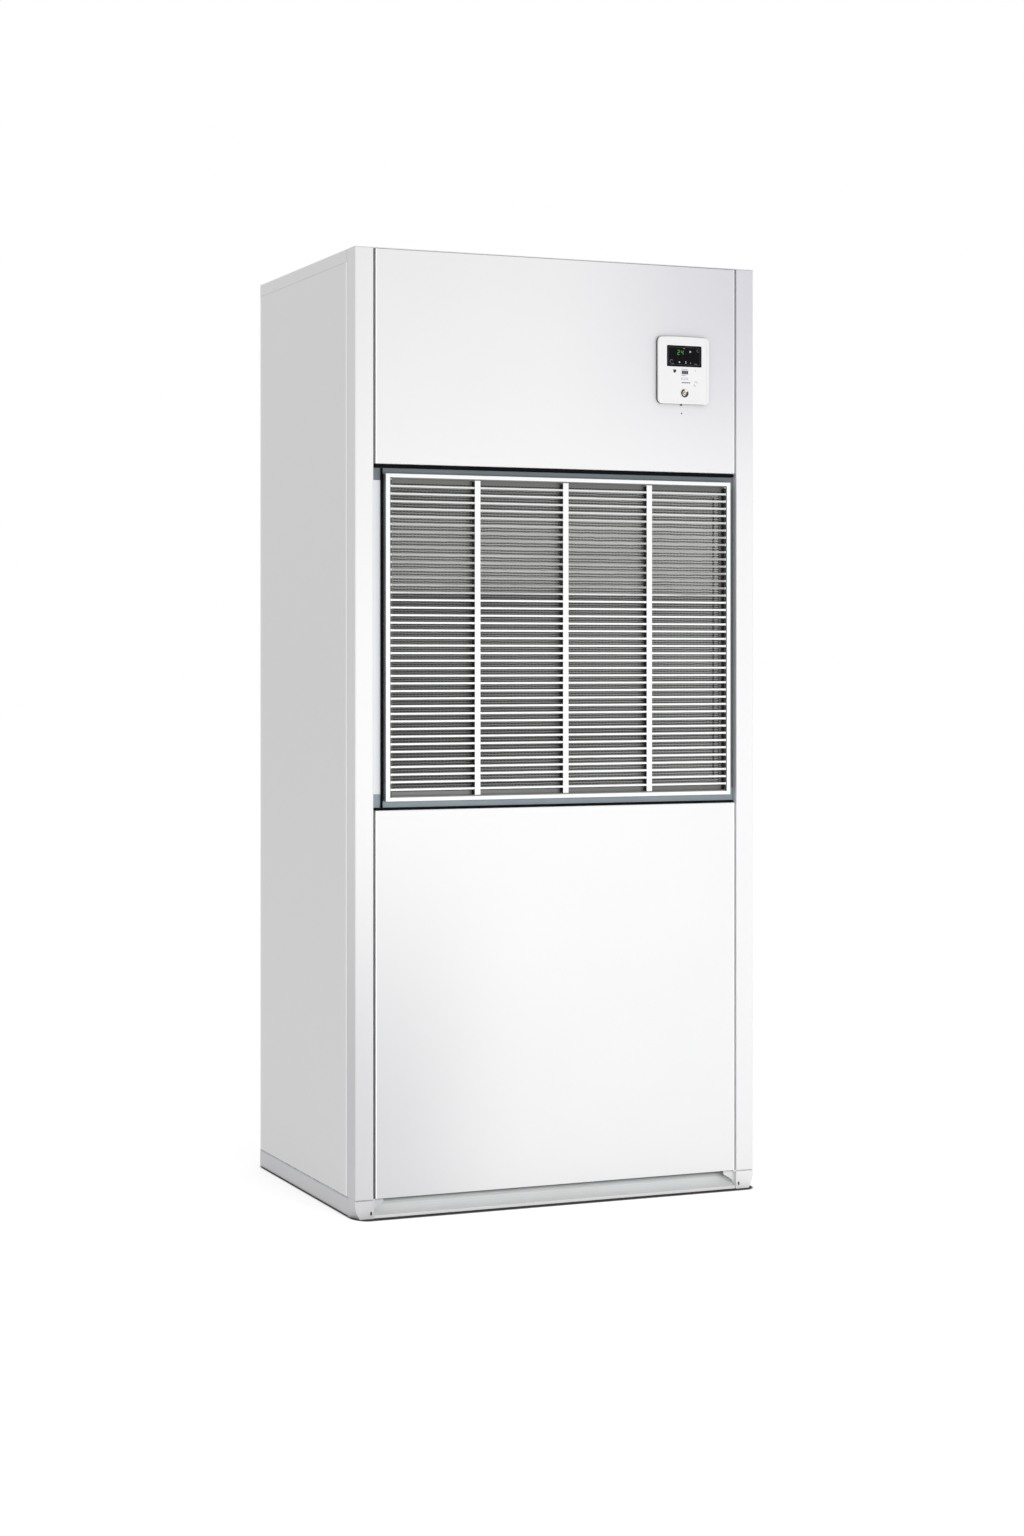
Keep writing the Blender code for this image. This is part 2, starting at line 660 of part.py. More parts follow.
def front_panels(looks):
    """The two lift-off front panels, each a tray open at the back with softly rounded edges."""
    paint = looks["paint"]
    top = HEIGHT - SHEET - 2 * GAP
    for name, z in (("upper_panel", (UPPER_PANEL_BOTTOM, top)), ("lower_panel", (BODY_Z, LOWER_PANEL_TOP))):
        panel = box(name, (-PANEL_X, PANEL_X), (FRONT, FRONT + PANEL_DEPTH), z, paint)
        soften(panel, PANEL_EDGE, 2)
        inner_z = (z[0] + SHEET, z[1] - SHEET)
        inner_x = (-PANEL_X + SHEET, PANEL_X - SHEET)
        inner_y = (FRONT + SHEET, FRONT + PANEL_DEPTH + PAST)
        cut(panel, box(f"{name}_hollow", inner_x, inner_y, inner_z, paint))
        pivot(panel, (0.0, FRONT, (z[0] + z[1]) / 2))


def surround_inner():
    """The clear opening inside the four surround strips, behind the grille's border."""
    x = (GRILLE_X[0] + GRILLE_COVER, GRILLE_X[1] - GRILLE_COVER)
    return x, (GRILLE_Z[0] + GRILLE_COVER + BLADE_TAIL, GRILLE_Z[1] - GRILLE_COVER)


def surrounds(looks):
    """Four folded strips round the return opening, set back from the face of the panels."""
    look = looks["galvanised"]
    mid = SHEET / 2
    face = FRONT + SURROUND_SET_BACK + mid
    (left, right), (low, high) = surround_inner()
    bottom = LOWER_PANEL_TOP + GAP + mid
    top = UPPER_PANEL_BOTTOM - GAP - mid
    reach = DECK_FRONT - GAP
    across = SIDE - POST_FACE - GAP
    span = (-across, across)
    prism("surround_bottom", strip([(reach, bottom), (face, bottom), (face, low)]), "X", span, look)
    prism("surround_top", strip([(reach, top), (face, top), (face, high)]), "X", span, look)
    for side, tag, inner in ((-1, "left", -left), (1, "right", right)):
        edge = across - mid
        path = [(edge, FRONT + SURROUND_RETURN), (edge, face), (inner, face)]
        prism(f"surround_{tag}", mirrored(strip(path), side), "Z", (low + GAP, high - GAP), look)


def grille(looks):
    """The return grille: a frame with a back lip, and a core of thin sloped blades fused to upright bars."""
    look = looks["grille"]
    front = FRONT - GRILLE_PROUD
    back = FRONT + SURROUND_SET_BACK - GAP
    hinge = (0.0, front, GRILLE_Z[0])
    frame = box("grille_frame", GRILLE_X, (front, back), GRILLE_Z, look)
    soften(frame, BLADE_TAIL, 2)
    inner_x = (GRILLE_X[0] + GRILLE_BORDER, GRILLE_X[1] - GRILLE_BORDER)
    inner_z = (GRILLE_Z[0] + GRILLE_BORDER, GRILLE_Z[1] - GRILLE_BORDER)
    seat = back - GRILLE_LIP_DEPTH
    cut(frame, box("grille_rebate", inner_x, (front - PAST, seat), inner_z, look))
    lip_x = (inner_x[0] + GRILLE_LIP, inner_x[1] - GRILLE_LIP)
    lip_z = (inner_z[0] + GRILLE_LIP, inner_z[1] - GRILLE_LIP)
    cut(frame, box("grille_through", lip_x, (front - PAST, back + PAST), lip_z, look))
    pivot(frame, hinge)

    nose = front + BLADE_SET_BACK
    bar_back = seat - GAP
    tail = bar_back - BLADE_TAIL
    half = BLADE_TAIL / 2
    section = [(nose, -BLADE_NOSE / 2), (nose, BLADE_NOSE / 2)]
    section += [(tail, BLADE_RISE + half), (tail, BLADE_RISE - half)]
    tops = [BLADE_TOP_Z - BLADE_PITCH * i for i in range(BLADE_COUNT)]
    blades = [[(y, z + top) for y, z in section] for top in tops]
    ends = (inner_x[0] + END_BAR / 2, inner_x[1] - END_BAR / 2)
    core = prism("grille_core", blades, "X", ends, look)
    tall = (inner_z[0] + GAP, inner_z[1] - GAP)
    bars = []
    for share in MULLION_SHARES:
        x = GRILLE_X[0] + (GRILLE_X[1] - GRILLE_X[0]) * share
        bars.append(((x - MULLION_WIDTH / 2, x + MULLION_WIDTH / 2), (nose - MULLION_PROUD, bar_back), tall))
    for x in ((inner_x[0] + GAP, inner_x[0] + GAP + END_BAR), (inner_x[1] - GAP - END_BAR, inner_x[1] - GAP)):
        bars.append((x, (nose - MULLION_PROUD / 2, bar_back), tall))
    fuse(core, boxes("grille_bars", bars, look))
    pivot(core, hinge)


def air_filter(looks):
    """A cleanable filter clipped to the back of the grille: a channel frame and a panel of netting."""
    (left, right), (low, high) = surround_inner()
    x = (left + FOLD_RADIUS, right - FOLD_RADIUS)
    z = (low + 2 * SHEET, high - 3 * SHEET)
    front = FRONT + SURROUND_SET_BACK
    y = (front, front + FILTER_DEPTH)
    hinge = (0.0, FRONT - GRILLE_PROUD, GRILLE_Z[0])
    frame = box("filter_frame", x, y, z, looks["aluminium"])
    inner_x = (x[0] + FILTER_BORDER, x[1] - FILTER_BORDER)
    inner_z = (z[0] + FILTER_BORDER, z[1] - FILTER_BORDER)
    cut(frame, box("filter_through", inner_x, (y[0] - PAST, y[1] + PAST), inner_z, looks["aluminium"]))
    pivot(frame, hinge)
    net_x = (inner_x[0] + GAP, inner_x[1] - GAP)
    net_z = (inner_z[0] + GAP, inner_z[1] - GAP)
    net_y = (y[0] + NET_SET_BACK, y[0] + NET_SET_BACK + NET_DEPTH)
    net = box("filter_net", net_x, net_y, net_z, looks["net"])
    pivot(net, hinge)


def deck_top(upper):
    """The top face of a deck, level with the surround strip in front of it."""
    if upper:
        return UPPER_PANEL_BOTTOM - GAP
    return LOWER_PANEL_TOP + GAP + SHEET


def decks(looks):
    """The two cross decks, folded down at the sides. The upper one has an air port beside the blower."""
    look = looks["galvanised"]
    edge = SIDE - 1.5 * SHEET - GAP
    for name, upper in (("deck_lower", False), ("deck_upper", True)):
        z = deck_top(upper) - SHEET / 2
        path = [(-edge, z - DECK_FLANGE), (-edge, z), (edge, z), (edge, z - DECK_FLANGE)]
        deck = prism(name, strip(path), "Y", (DECK_FRONT, DECK_BACK), look)
        through = (z - PAST, z + PAST)
        if upper:
            ports = [(sorted(side * end for end in DECK_PORT_X), DECK_PORT_Y, through) for side in (-1, 1)]
            cut(deck, boxes("deck_ports", ports, look))
        else:
            for tag, (x, y), radius in deck_holes():
                cut(deck, cylinder(f"deck_hole_{tag}", "Z", (x, y, 0.0), radius, through, look, 16))


def deck_holes():
    """Where pipes pass the lower deck: a name, the middle of the hole and its radius."""
    liquid = (LIQUID_TURN_X, liquid_spot()[1])
    return (
        ("suction", header_spot()[:2], HEADER_RADIUS + HOLE_CLEARANCE),
        ("liquid", liquid, COIL_TUBE + HOLE_CLEARANCE),
        ("drain", DRAIN_SPOT, DRAIN_RADIUS + HOLE_CLEARANCE / 2),
    )


def coil(looks):
    """The finned coil between two tube plates with their bends, header and stubs, in the drain pan."""
    floor = deck_top(False) + GAP
    zinc = looks["galvanised"]
    pan_x = (-COIL_X - PAN_HEIGHT / 2, COIL_X + PAN_HEIGHT / 2)
    pan_y = (COIL_Y[0] - PAN_HEIGHT * 0.8, COIL_Y[1] + PAN_HEIGHT * 1.25)
    pan = box("drain_pan", pan_x, pan_y, (floor, floor + PAN_HEIGHT), zinc)
    pan_inner = ((pan_x[0] + SHEET, pan_x[1] - SHEET), (pan_y[0] + SHEET, pan_y[1] - SHEET))
    cut(pan, box("drain_pan_hollow", *pan_inner, (floor + SHEET, floor + PAN_HEIGHT + PAST), zinc))
    spot = (*DRAIN_SPOT, 0.0)
    stub = (floor - DRAIN_DROP, floor + SHEET / 2)
    fuse(pan, cylinder("drain_stub", "Z", spot, DRAIN_RADIUS, stub, zinc, 16))
    bore = (floor - DRAIN_DROP - PAST, floor + PAST)
    cut(pan, cylinder("drain_bore", "Z", spot, DRAIN_RADIUS - COIL_PLATE, bore, zinc, 16))
    box("coil_fins", (-COIL_X, COIL_X), COIL_Y, COIL_Z, looks["fins"])

    edge = 3 * COIL_PLATE
    plate_y = (COIL_Y[0] - edge, COIL_Y[1] + edge)
    plate_z = (floor + SHEET + GAP, COIL_Z[1] + edge)
    inner = COIL_X + GAP
    outer = inner + COIL_PLATE
    plates = []
    for side, tag in ((-1, "l"), (1, "r")):
        x = sorted((side * inner, side * outer))
        made = box(f"coil_plate_{tag}", x, plate_y, plate_z, zinc)
        fold_x = sorted((side * inner, side * (outer + edge)))
        fold_y = (plate_y[1] - COIL_PLATE, plate_y[1])
        fuse(made, box(f"coil_plate_{tag}_fold", fold_x, fold_y, plate_z, zinc))
        plates.append(made)
    step = (COIL_Z[1] - COIL_Z[0]) / COIL_ROWS
    rows = [COIL_Z[0] + step * (i + 0.5) for i in range(COIL_ROWS)]
    copper = looks["copper"]
    header = header_spot()
    spot = (header[0], header[1], 0.0)
    fuse(plates[1], cylinder("coil_header", "Z", spot, HEADER_RADIUS, (header[2], COIL_Z[1]), copper, 12))
    plate = inner + COIL_PLATE / 2
    for i, z in enumerate(rows):
        fuse(plates[0], return_bend(f"coil_bend_{i}", -plate, z, copper))
        spot = (0.0, header[1], z)
        fuse(plates[1], cylinder(f"coil_stub_{i}", "X", spot, COIL_TUBE, (plate, header[0]), copper, 8))
    end_x, end_y, end_z = liquid_spot()
    fuse(plates[1], cylinder("liquid_stub", "X", (0.0, end_y, end_z), COIL_TUBE, (plate, end_x), copper, 8))


def return_bend(name, x, z, look):
    """One U of tube that joins two rows of the coil, as a closed body to fuse to its plate."""
    y = (COIL_Y[0] + COIL_Y[1]) / 2
    out = x - COIL_BEND_REACH
    path = [(x, y, z - COIL_BEND_RADIUS), (out, y, z - COIL_BEND_RADIUS)]
    path += [(out, y, z + COIL_BEND_RADIUS), (x, y, z + COIL_BEND_RADIUS)]
    return as_mesh(tube(name, path, COIL_TUBE, COIL_BEND_RADIUS * 0.98, look, 2))


def scroll_path():
    """The middle line of the scroll sheet: down the outlet's front wall, round the wheel and up again."""
    path = [(outlet_front_y() + SHEET / 2, OUTLET_TOP_Z)]
    centre = Vector((BLOWER_Y, BLOWER_Z))
    steps = 26
    for i in range(steps + 1):
        share = i / steps
        angle = math.radians(SCROLL_START_ANGLE + (360 - SCROLL_START_ANGLE) * share)
        radius = SCROLL_START + (SCROLL_END - SCROLL_START) * share
        path.append(tuple(centre + Vector((math.cos(angle), math.sin(angle))) * radius))
    path.append((BLOWER_Y + SCROLL_END, OUTLET_TOP_Z))
    return path


def blower_base_top():
    """The top face of the base that carries the housing and the bearing stands."""
    return deck_top(True) + GAP + BLOWER_BASE_HEIGHT


def blower_housing(looks):
    """The scroll sheet and its two side plates, each with a foot and a rolled inlet ring."""
    look = looks["galvanised"]
    half = HOUSING_WIDTH / 2
    path = scroll_path()
    inner = half - SHEET - GAP
    wrap = offset(path, SHEET / 2) + offset(path, -SHEET / 2)[::-1]
    prism("scroll_wrap", wrap, "X", (BLOWER_X - inner, BLOWER_X + inner), look)
    outline = offset(path, -2 * SHEET)
    foot_y = (BLOWER_BASE_Y[0] + SCROLL_FOOT_INSET, BLOWER_BASE_Y[1] - SCROLL_FOOT_INSET)
    foot_z = blower_base_top() + GAP
    for side, tag in ((-1, "l"), (1, "r")):
        outer = BLOWER_X + side * half
        x = sorted((outer, outer - side * SHEET))
        plate = prism(f"scroll_side_{tag}", outline, "X", x, look)
        fuse(plate, box(f"scroll_foot_{tag}", x, foot_y, (foot_z, BLOWER_Z - SCROLL_FOOT_TOP), look))
        lip_x = sorted((outer - side * SHEET, outer + side * SCROLL_FOOT_INSET))
        fuse(plate, box(f"scroll_lip_{tag}", lip_x, foot_y, (foot_z, foot_z + SHEET), look))
        inlet(plate, side, tag, look)


def inlet(plate, side, tag, look):
    """The hole in a side plate of the housing, and the flared ring that leads the air into the wheel."""
    centre = (BLOWER_X, BLOWER_Y, BLOWER_Z)
    half = HOUSING_WIDTH / 2
    wide = INLET_RADIUS + INLET_FLARE
    through = sorted((side * (half - PAST), side * (half + PAST)))
    cut(plate, cylinder(f"scroll_hole_{tag}", "X", centre, wide, through, look, 24))
    mouth = half + SHEET / 2
    seat = half - SHEET / 2
    throat = half - INLET_DEPTH
    ring = [(wide + INLET_FLARE, mouth), (wide + INLET_FLARE, seat), (wide - SHEET, seat)]
    ring += [(INLET_RADIUS + SHEET, throat), (INLET_RADIUS, throat), (wide - 2 * SHEET, mouth)]
    ring = [(radius, side * height) for radius, height in ring]
    fuse(plate, lathe(f"inlet_ring_{tag}", ring, "X", centre, look, 24))


def blade_outline(turn):
    """One forward curved blade, seen along the shaft: outer edge, belly, inner edge and back."""
    outline = []
    for share, lead in ((0.994, 0.0), (0.909, -0.060), (0.841, -0.040), (0.913, -0.044)):
        radius = WHEEL_RADIUS * share
        angle = turn + lead
        outline.append((BLOWER_Y + radius * math.cos(angle), BLOWER_Z + radius * math.sin(angle)))
    return outline


def blower_wheel(looks):
    """A double inlet wheel: forward curved blades fused to a centre disc with a hub and to two end rings."""
    look = looks["galvanised"]
    centre = Vector((BLOWER_X, BLOWER_Y, BLOWER_Z))
    half = WHEEL_WIDTH / 2
    blades = [blade_outline(2 * math.pi * i / WHEEL_BLADES) for i in range(WHEEL_BLADES)]
    reach = half - WHEEL_RING_WIDTH / 3
    wheel = prism("blower_wheel", blades, "X", (BLOWER_X - reach, BLOWER_X + reach), look)
    bore = SHAFT_RADIUS + GAP
    edge = WHEEL_RADIUS - WHEEL_RING_WIDTH
    boss = DISC_HALF + GAP * 2
    hub = [(bore, -HUB_HALF), (HUB_RADIUS, -HUB_HALF), (HUB_RADIUS, -boss), (edge, -DISC_HALF)]
    hub += [(edge, DISC_HALF), (HUB_RADIUS, boss), (HUB_RADIUS, HUB_HALF), (bore, HUB_HALF)]
    fuse(wheel, lathe("wheel_disc", hub, "X", centre, look, 30))
    inner = WHEEL_RADIUS - WHEEL_RING
    for side, tag in ((-1, "l"), (1, "r")):
        low = side * (half - WHEEL_RING_WIDTH)
        high = side * half
        ring = [(inner, low), (WHEEL_RADIUS, low), (WHEEL_RADIUS, high), (inner, high)]
        fuse(wheel, lathe(f"wheel_ring_{tag}", ring, "X", centre, look, 30))
    pivot(wheel, centre)

    stick_out = PULLEY_WIDTH * 0.4
    far = BEARING_OFFSET + BEARING_WIDTH / 2 + stick_out
    near = PULLEY_X - BLOWER_X - PULLEY_WIDTH / 2 - stick_out
    pivot(cylinder("blower_shaft", "X", centre, SHAFT_RADIUS, (near, far), looks["steel"], 16), centre)


def blower_supports(looks):
    """A folded base under the housing and, at each side, a stand that carries a pillow block bearing."""
    look = looks["galvanised"]
    mid = SHEET / 2
    floor = deck_top(True) + GAP + mid
    top = blower_base_top() - mid
    (front, back) = BLOWER_BASE_Y
    path = [(front - BLOWER_BASE_FLANGE, floor), (front, floor), (front, top)]
    path += [(back, top), (back, floor), (back + BLOWER_BASE_FLANGE, floor)]
    span = (BLOWER_X - BLOWER_BASE_X, BLOWER_X + BLOWER_BASE_X)
    prism("blower_base", strip(path), "X", span, look)
    for side, tag in ((-1, "l"), (1, "r")):
        x = BLOWER_X + side * BEARING_OFFSET
        bearing_stand(x, tag, look)
        bearing(x, tag, looks["cast"])


def bearing_stand(x, tag, look):
    """A folded stand, open in the middle of its walls, from the base up to the bearing's foot."""
    foot = blower_base_top() + GAP
    top = BLOWER_Z - BEARING_HEIGHT - GAP - SHEET / 2
    leg = BEARING_WIDTH / 2 + SHEET / 2
    half = BEARING_BASE / 2
    path = [(x - leg, foot), (x - leg, top), (x + leg, top), (x + leg, foot)]
    made = prism(f"bearing_stand_{tag}", strip(path), "Y", (BLOWER_Y - half, BLOWER_Y + half), look)
    wide = (x - BEARING_WIDTH, x + BEARING_WIDTH)
    deep = (BLOWER_Y - STAND_WINDOW / 2, BLOWER_Y + STAND_WINDOW / 2)
    cut(made, box(f"stand_window_{tag}", wide, deep, (foot + STAND_EDGE, top - STAND_EDGE), look))


def bearing(x, tag, look):
    """A pillow block: a flat foot, a round top and the bore that the shaft runs in."""
    seat = BLOWER_Z - BEARING_HEIGHT
    half = BEARING_BASE / 2
    outline = [(BLOWER_Y - half, seat + BEARING_FOOT), (BLOWER_Y - half, seat)]
    outline += [(BLOWER_Y + half, seat), (BLOWER_Y + half, seat + BEARING_FOOT)]
    for i in range(11):
        angle = math.radians(-15 + 210 * i / 10)
        spot = (BLOWER_Y + BEARING_RADIUS * math.cos(angle), BLOWER_Z + BEARING_RADIUS * math.sin(angle))
        outline.append(spot)
    reach = BEARING_WIDTH / 2
    block = prism(f"bearing_{tag}", outline, "X", (x - reach, x + reach), look)
    centre = (x, BLOWER_Y, BLOWER_Z)
    through = (-BEARING_WIDTH, BEARING_WIDTH)
    cut(block, cylinder(f"bearing_bore_{tag}", "X", centre, SHAFT_RADIUS + GAP, through, look, 16))


def motor_centre():
    """The middle of the motor's pulley."""
    return Vector((PULLEY_X, MOTOR_Y, deck_top(True) + 2 * GAP + MOTOR_BASE_SHEET + MOTOR_SHAFT_HEIGHT))


def belt_drive(looks):
    """A foot mounted motor on its base, with a small and a large grooved pulley and the belt round both."""
    centre = motor_centre()
    motor(centre, looks)
    reach = MOTOR_START + MOTOR_BELL - HOLE_CLEARANCE
    span = (-PULLEY_WIDTH * 0.8, reach)
    shaft = cylinder("motor_shaft", "X", centre, MOTOR_SHAFT_RADIUS, span, looks["steel"], 16)
    pivot(shaft, centre)
    pulley("motor_pulley", centre, MOTOR_PULLEY_RADIUS, MOTOR_SHAFT_RADIUS + GAP, looks["cast"], 20)
    high = Vector((PULLEY_X, BLOWER_Y, BLOWER_Z))
    pulley("blower_pulley", high, BLOWER_PULLEY_RADIUS, SHAFT_RADIUS + GAP, looks["cast"], 20)
    belt(centre, looks["rubber"])


def motor(centre, looks):
    """The motor's casting with its fan cover, two feet and terminal box, and the plate it is bolted to."""
    floor = deck_top(True) + GAP
    base_top = floor + MOTOR_BASE_SHEET
    middle_x = PULLEY_X + MOTOR_START + MOTOR_LENGTH / 2
    base_x = (middle_x - MOTOR_LENGTH / 2, middle_x + MOTOR_LENGTH / 2)
    base_y = (MOTOR_Y - MOTOR_BASE_WIDTH / 2, MOTOR_Y + MOTOR_BASE_WIDTH / 2)
    box("motor_base", base_x, base_y, (floor, base_top), looks["galvanised"])

    near = MOTOR_START
    far = MOTOR_START + MOTOR_LENGTH
    radius = MOTOR_RADIUS
    bore = MOTOR_SHAFT_RADIUS + GAP
    cover = radius - MOTOR_BAND
    profile = [(0.0, far), (radius * 0.75, far)]
    profile += [(cover, far - 3 * MOTOR_BAND), (cover, far - MOTOR_FAN_COVER)]
    profile += [(radius, far - MOTOR_FAN_COVER - MOTOR_BAND / 2), (radius, near + MOTOR_BELL + MOTOR_BAND)]
    profile += [(cover, near + MOTOR_BELL), (radius * 0.79, near + MOTOR_BELL / 3), (radius * 0.43, near)]
    profile += [(bore, near), (bore, near + MOTOR_BELL), (0.0, near + MOTOR_BELL)]
    body = lathe("motor", profile, "X", centre, looks["motor"], 20)
    foot_x = (middle_x - MOTOR_FOOT_LENGTH / 2, middle_x + MOTOR_FOOT_LENGTH / 2)
    foot_z = (base_top + GAP, centre.z - radius / 2)
    for i, edge in enumerate((base_y[0] + MOTOR_BAND, base_y[1] - MOTOR_BAND - MOTOR_FOOT)):
        fuse(body, box(f"motor_foot_{i}", foot_x, (edge, edge + MOTOR_FOOT), foot_z, looks["motor"]))
    long, wide, high = TERMINAL_BOX
    box_x = (middle_x - long / 2, middle_x + long / 2)
    box_z = (centre.z + radius * 0.65, centre.z + high)
    fuse(body, box("motor_terminals", box_x, (MOTOR_Y - wide / 2, MOTOR_Y + wide / 2), box_z, looks["motor"]))


def pulley(name, centre, radius, bore, look, steps):
    """A cast pulley with one V groove and a hub, and a thinner web between them if it is large."""
    half = PULLEY_WIDTH / 2
    root = radius - GROOVE_DEPTH
    hub = bore + PULLEY_HUB
    rim = root - PULLEY_RIM
    web = []
    if radius > WEBBED_PULLEY:
        draft = PULLEY_WEB_HALF / 2
        web = [(hub + draft, PULLEY_WEB_HALF), (rim - draft, PULLEY_WEB_HALF), (rim, half)]
    face = [(bore, half), (hub, half)] + web + [(radius, half)]
    groove = [(radius, GROOVE_TOP_HALF), (root, GROOVE_ROOT_HALF)]
    profile = [(r, -height) for r, height in face + groove] + (face + groove)[::-1]
    pivot(lathe(name, profile, "X", centre, look, steps), centre)


def belt(centre, look):
    """The V belt: its section swept round both pulleys and along the two straight runs between them."""
    low = Vector((centre.y, centre.z))
    high = Vector((BLOWER_Y, BLOWER_Z))
    line = high - low
    facing = math.atan2(line.y, line.x)
    spread = math.acos((MOTOR_PULLEY_RADIUS - BLOWER_PULLEY_RADIUS) / line.length)
    around = []
    for i in range(17):
        angle = facing - spread + 2 * spread * i / 16
        around.append((high, BLOWER_PULLEY_RADIUS, angle))
    rest = 2 * math.pi - 2 * spread
    for i in range(11):
        angle = facing + spread + rest * i / 10
        around.append((low, MOTOR_PULLEY_RADIUS, angle))
    shape = bmesh.new()
    sections = []
    for origin, radius, angle in around:
        out = Vector((math.cos(angle), math.sin(angle)))
        top = origin + out * (radius - BELT_SET_IN)
        base = origin + out * (radius - BELT_SET_IN - BELT_HEIGHT)
        section = [(-BELT_TOP_HALF, top), (BELT_TOP_HALF, top)]
        section += [(BELT_BASE_HALF, base), (-BELT_BASE_HALF, base)]
        sections.append([shape.verts.new((centre.x + x, spot.x, spot.y)) for x, spot in section])
    for here, there in zip(sections, sections[1:] + sections[:1]):
        for i in range(4):
            j = (i + 1) % 4
            shape.faces.new((here[i], here[j], there[j], there[i]))
    linked("belt", shape, look)


def compressor(looks):
    """The compressor's welded shell on its plate and rubber mounts, with the suction and discharge stubs."""
    look = looks["compressor"]
    half, sheet = COMPRESSOR_PLATE
    mount_radius, mount_height = COMPRESSOR_MOUNT
    stub_radius, stub_height = COMPRESSOR_TOP_STUB
    plate_z = BODY_Z + mount_height
    base = plate_z + sheet
    top = BODY_Z + COMPRESSOR_HEIGHT
    radius = COMPRESSOR_RADIUS
    seat = radius * 0.86
    profile = [(0.0, base - sheet / 2), (seat, base - sheet / 2), (seat, base + sheet)]
    profile += [(radius, base + 4 * sheet), (radius, top - radius * 0.59)]
    profile += [(radius * 0.88, top - radius * 0.26), (radius * 0.59, top - sheet)]
    profile += [(stub_radius, top), (stub_radius, top + stub_height), (0.0, top + stub_height)]
    body = lathe("compressor", profile, "Z", (COMPRESSOR_X, COMPRESSOR_Y, 0.0), look, 20)
    plate_x = (COMPRESSOR_X - half, COMPRESSOR_X + half)
    plate_y = (COMPRESSOR_Y - half, COMPRESSOR_Y + half)
    fuse(body, box("compressor_plate", plate_x, plate_y, (plate_z, base), look))
    reach = half - COMPRESSOR_MOUNT_INSET
    for i, (a, b) in enumerate(((-1, -1), (1, -1), (-1, 1), (1, 1))):
        spot = (COMPRESSOR_X + a * reach, COMPRESSOR_Y + b * reach, 0.0)
        span = (BODY_Z, plate_z + sheet / 2)
        fuse(body, cylinder(f"compressor_mount_{i}", "Z", spot, mount_radius, span, looks["rubber"], 12))
    stub_radius, stub_length = SUCTION_STUB
    spot = (COMPRESSOR_X, COMPRESSOR_Y, SUCTION_Z)
    span = (radius - PAST, radius + stub_length)
    fuse(body, cylinder("suction_stub", "X", spot, stub_radius, span, looks["copper"], 12))


def condenser(looks):
    """The water cooled condenser's shell with its bolted head, both water connections and both gas stubs."""
    centre = Vector((0.0, CONDENSER_Y, CONDENSER_Z))
    half = CONDENSER_LENGTH / 2
    radius = CONDENSER_RADIUS
    shell = radius - CONDENSER_SHELL_STEP
    head_length, head_edge = CONDENSER_HEAD
    dish_radius, dish = CONDENSER_END
    head = half - head_length - head_edge
    profile = [(0.0, -half), (radius - dish_radius, -half), (shell, -half + dish)]
    profile += [(shell, head), (radius, head), (radius, half - head_edge)]
    profile += [(radius - head_edge, half), (0.0, half)]
    body = lathe("condenser", profile, "X", centre, looks["condenser"], 20)
    for sign, tag in ((-1, "low"), (1, "high")):
        spot = (WATER_STUB_X, 0.0, CONDENSER_Z + sign * WATER_STUB_RISE)
        span = (CONDENSER_Y + WATER_STUB_RISE, WATER_STUB_END)
        fuse(body, cylinder(f"water_stub_{tag}", "Y", spot, WATER_STUB_RADIUS, span, looks["brass"], 16))
        bore = (WATER_STUB_END - WATER_STUB_DEPTH, WATER_STUB_END + PAST)
        inner = WATER_STUB_RADIUS - WATER_STUB_WALL
        cut(body, cylinder(f"water_bore_{tag}", "Y", spot, inner, bore, looks["brass"], 16))
    top = CONDENSER_Z + radius
    for x, tag in ((COMPRESSOR_X, "in"), (LIQUID_X, "out")):
        span = (top - GAS_STUB_RISE, top + GAS_STUB_RISE)
        spot = (x, CONDENSER_Y, 0.0)
        fuse(body, cylinder(f"gas_stub_{tag}", "Z", spot, GAS_TUBE, span, looks["copper"], 12))


def condenser_cradle(looks):
    """Two saddles on a strip, which carry the condenser."""
    look = looks["galvanised"]
    long, wide, sheet = CRADLE
    foot, edge, thick = SADDLE
    seat = CONDENSER_RADIUS - CONDENSER_SHELL_STEP + GAP
    saddle = []
    for i in range(9):
        angle = math.radians(230 + 80 * i / 8)
        saddle.append((CONDENSER_Y + seat * math.cos(angle), CONDENSER_Z + seat * math.sin(angle)))
    saddle += [(CONDENSER_Y + foot, BODY_Z + edge), (CONDENSER_Y + foot, BODY_Z)]
    saddle += [(CONDENSER_Y - foot, BODY_Z), (CONDENSER_Y - foot, BODY_Z + edge)]
    strip_y = (CONDENSER_Y - wide, CONDENSER_Y + wide)
    made = box("condenser_cradle", (-long, long), strip_y, (BODY_Z, BODY_Z + sheet), look)
    for i, x in enumerate(SADDLE_XS):
        fuse(made, prism(f"saddle_{i}", saddle, "X", (x - thick / 2, x + thick / 2), look))


